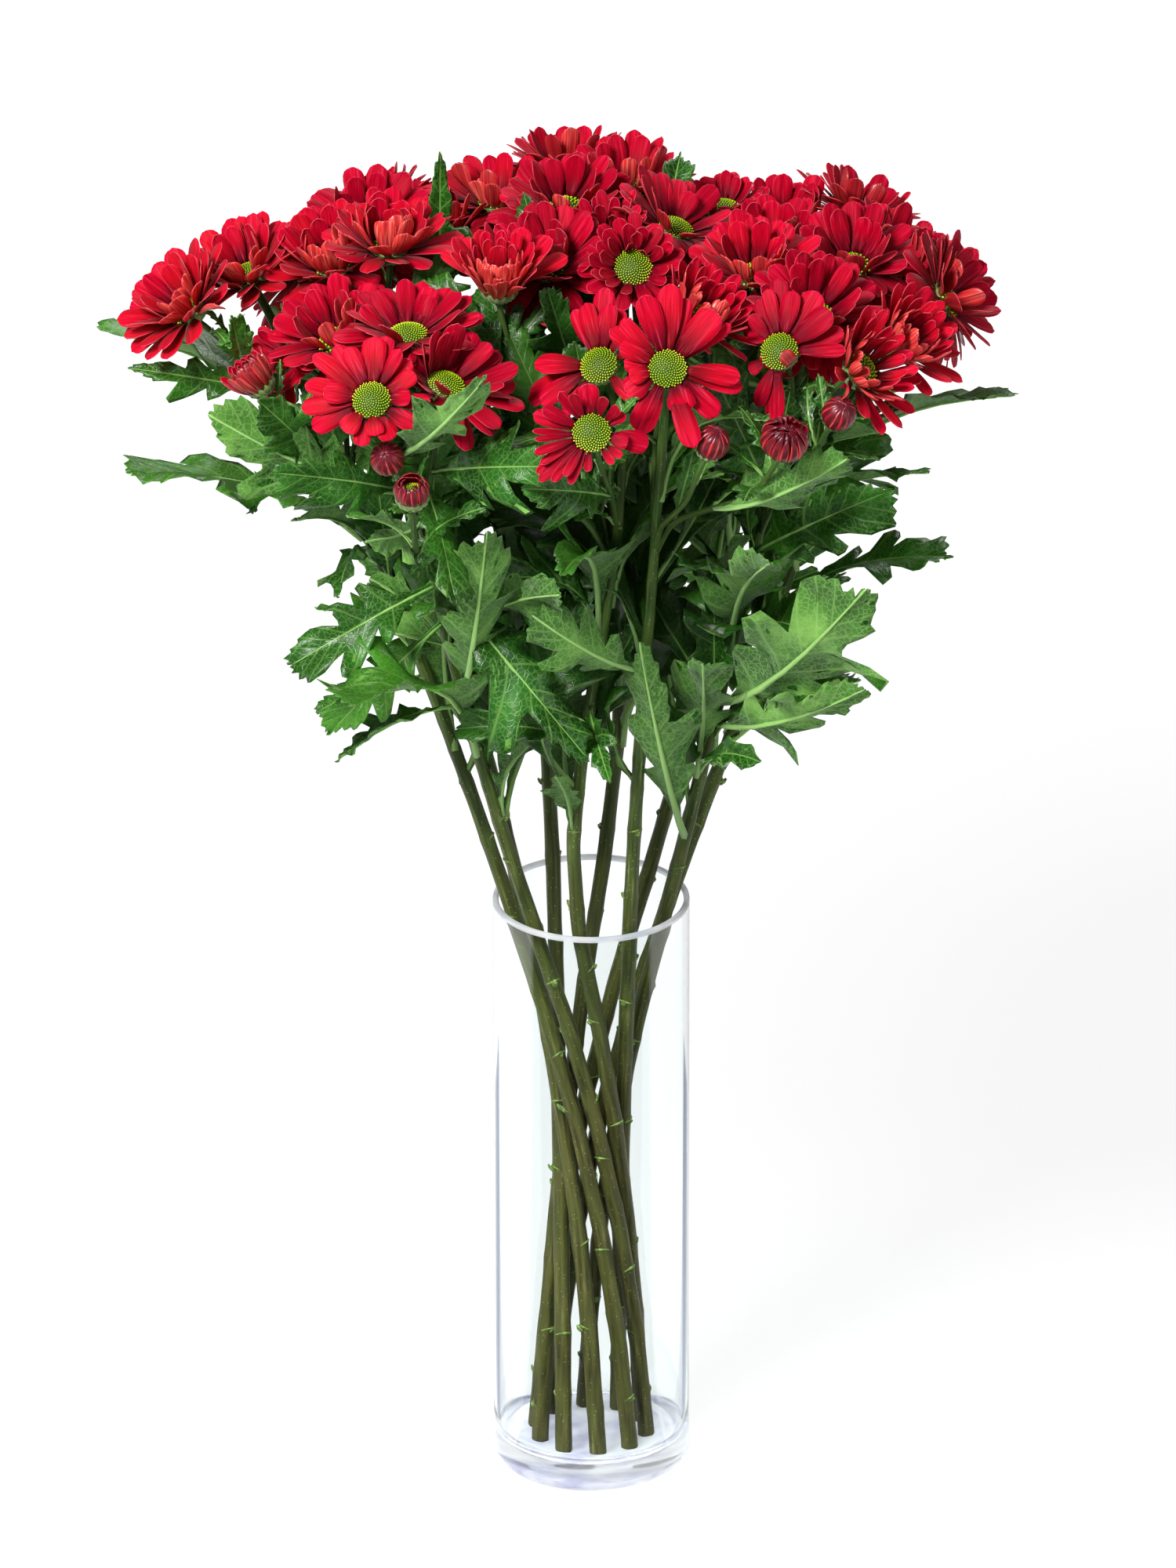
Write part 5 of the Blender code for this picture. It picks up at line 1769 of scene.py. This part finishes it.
# The leaves that show most stand in front of the others. Each grows from the stalk nearest
# to its foot, and shows its dark upper side or its pale back.
FrontLeaf = namedtuple("FrontLeaf", "foot tip shows wide twist")
FRONT_LEAVES = (
    ((80, -80, 560), (127, -132, 620), "back", 1.45, 12),
    ((58, -60, 440), (136, -122, 543), "back", 1.2, -10),
    ((70, -50, 425), (136, -92, 474), "back", 1.2, 20),
    ((-41, -50, 455), (-52, -112, 570), "back", 0.95, 15),
    ((-53, -80, 562), (-112, -142, 580), "back", 0.9, 95),
    ((-93, -30, 515), (-150, -78, 482), "top", 1.2, 10),
    ((-100, -30, 490), (-132, -58, 434), "top", 1.0, -20),
    ((44, -24, 362), (24, -74, 492), "back", 0.85, -14),
    ((-48, -60, 522), (-2, -104, 442), "top", 1.05, -30),
    ((-88, -105, 602), (-52, -160, 678), "back", 0.84, 24),
    ((-60, -90, 585), (-16, -136, 618), "top", 1.3, 10),
    ((4, -90, 565), (-34, -132, 604), "top", 1.2, -10),
    ((90, -60, 520), (150, -92, 585), "top", 1.2, 10),
    ((-110, -60, 560), (-158, -104, 600), "top", 1.1, -30),
    ((20, -60, 470), (-30, -100, 520), "back", 1.1, 30),
    ((-30, -20, 570), (-42, -30, 645), "top", 1.3, 10),
    ((-10, -20, 565), (-8, -35, 640), "top", 1.3, -12),
    ((10, -20, 565), (22, -30, 642), "top", 1.3, 14),
    ((-70, -40, 560), (-80, -55, 625), "top", 1.2, 20),
    ((-50, -30, 560), (-60, -45, 640), "top", 1.3, -8),
    ((60, -40, 560), (62, -60, 632), "top", 1.2, 16),
    ((90, -30, 560), (100, -60, 628), "top", 1.2, -18),
    ((120, -20, 560), (140, -20, 620), "top", 1.2, 8),
    ((-110, -10, 560), (-130, -15, 618), "top", 1.2, -10),
    ((-80, 20, 570), (-90, 30, 635), "top", 1.3, 10),
    ((30, 20, 560), (35, 20, 620), "top", 1.2, 10),
    ((70, 20, 550), (72, 25, 605), "top", 1.2, -10),
    ((-165, 10, 590), (-232, -5, 612), "top", 0.8, 15),
    ((-158, 10, 598), (-178, -10, 642), "top", 1.2, -15),
    ((-150, -10, 630), (-180, -25, 650), "top", 1.0, 30),
    ((-150, 20, 600), (-150, 0, 650), "top", 1.2, 10),
    ((48, 75, 640), (45, 72, 697), "top", 0.8, 10),
    ((-40, 30, 610), (-34, 20, 698), "top", 0.7, -10),
    ((-77, 100, 600), (-76, 96, 684), "top", 0.6, 10),
    ((-108, -60, 560), (-190, -84, 622), "back", 1.0, 25),
    ((-120, -60, 575), (-166, -96, 636), "top", 1.0, -15),
    ((-60, -5, 600), (-84, -22, 668), "top", 1.3, 10),
    ((-45, -10, 600), (-52, -20, 664), "top", 1.3, -14),
    ((-20, -5, 600), (-22, -25, 664), "top", 1.3, 12),
    ((-70, 0, 500), (-108, -10, 556), "top", 1.3, 10),
    ((-40, 0, 480), (-60, -15, 545), "top", 1.3, -12),
    ((-30, 5, 610), (-4, 0, 672), "top", 1.2, 8),
    ((-60, 10, 610), (-66, 5, 676), "top", 1.2, -8),
)
SHOWS = {"top": Vector((0, -0.85, 0.5)), "back": Vector((0, 0.9, 0.1))}
FRONT_BOWS = {"top": 0.11, "back": -0.10}
all_lines = [line for line, *_ in (*stems.values(), *stalks.values())]
CLEAR_OF_HEAD = 30 * MM
feet = [point for line in all_lines for point in line
        if (point - line[-1]).length > CLEAR_OF_HEAD]
for number, leaf in enumerate(map(FrontLeaf._make, FRONT_LEAVES)):
    wanted = Vector(leaf.foot) * MM
    foot = min(feet, key=lambda point: (point - wanted).length)
    tip = Vector(leaf.tip) * MM
    look = (leaf.wide, FRONT_BOWS[leaf.shows], 20, leaf.twist, 0.22)
    tries = []
    for step, forward in enumerate(FORWARDS):
        moved = tip + TO_ROOM * forward * MM
        rough = rough_leaf(foot, moved, SHOWS[leaf.shows], look)
        tries.append((in_heads(*rough, FRONT_JOINT_FACES), step, moved))
    tip = min(tries)[2]
    make_leaf(f"front_leaf_{number + 1:02d}", foot, tip, SHOWS[leaf.shows], look,
              random.Random(number))

# All other leaves grow at the joints of the stems, lengths in mm and climbs in degrees by how
# far up the leafy part they are. Many a joint has a side shoot with a smaller leaf.
LENGTHS = ((0.0, 96), (0.3, 122), (0.6, 108), (1.0, 74))
CLIMBS = ((0.0, 62), (0.3, 46), (0.7, 42), (1.0, 56))
HANGING = 0.14           # the share of leaves that hang instead of standing
HANGING_CLIMB = -35
HANGING_AT = (0.15, 0.8)
NO_SHOOT = 0.25          # the share of joints without a side shoot
SHOOT_LENGTH = 0.58
SHOOT_ABOVE = 3          # how far (mm) a shoot stands above its leaf
JOINT_OUT = 0.8          # leaves start at this share of the stem's radius
BARE_NECK = 25 * MM
LEAF_TRIES = 8
for stem_name, (line, radii, joints) in stems.items():
    top = line[-1].z
    for number, turn in joints:
        point = line[number]
        if point.z < LEAFY_FROM or point.z > top - BARE_NECK:
            continue
        high = (point.z - LEAFY_FROM) / (top - LEAFY_FROM)
        for shoot in (0, 1):
            if shoot and rng.random() < NO_SHOOT:
                continue
            heading = turn + shoot * rng.uniform(-0.9, 0.9)
            length = between(LENGTHS, high) * MM * rng.uniform(0.8, 1.12)
            length *= SHOOT_LENGTH if shoot else 1
            out = outward(heading)
            look = (rng.uniform(0.95, 1.3), rng.uniform(0.05, 0.26), rng.uniform(8, 42),
                    rng.gauss(0, 40), rng.uniform(0.1, 0.4))
            climb = between(CLIMBS, high) + rng.gauss(0, 14)
            if rng.random() < HANGING and HANGING_AT[0] < high < HANGING_AT[1]:
                climb = HANGING_CLIMB
            base = point + out * radii[number] * JOINT_OUT + UP * shoot * SHOOT_ABOVE * MM
            grow_leaf(f"leaf_{stem_name[5:]}_{number}" + "s" * shoot, base, heading, climb,
                      length, look, LEAF_TRIES, bool(shoot))

# Small bracts on the side stalks, shorter towards the heads.
BRACTS_AT = (0.16, 0.38, 0.6, 0.78, 0.92)
BRACTS_FROM = 10 * MM
BRACT_SHRINK = 0.45
BRACT_TRIES = 6
for name, (line, thick) in stalks.items():
    length_all = sum((a - b).length for a, b in zip(line, line[1:]))
    for share in BRACTS_AT:
        number = int(len(line) * share)
        if length_all * share < BRACTS_FROM or not 1 <= number < len(line) - 1:
            continue
        turn = rng.random() * math.tau
        out = outward(turn)
        length = rng.uniform(38, 64) * (1 - BRACT_SHRINK * share) * MM
        look = (rng.uniform(0.7, 1.1), rng.uniform(0.02, 0.16), rng.uniform(4, 26),
                rng.gauss(0, 25), rng.uniform(0.05, 0.2))
        grow_leaf(f"bract_{name}_{number}", line[number] + out * thick[number] * JOINT_OUT,
                  turn, rng.uniform(20, 60), length, look, BRACT_TRIES, True)
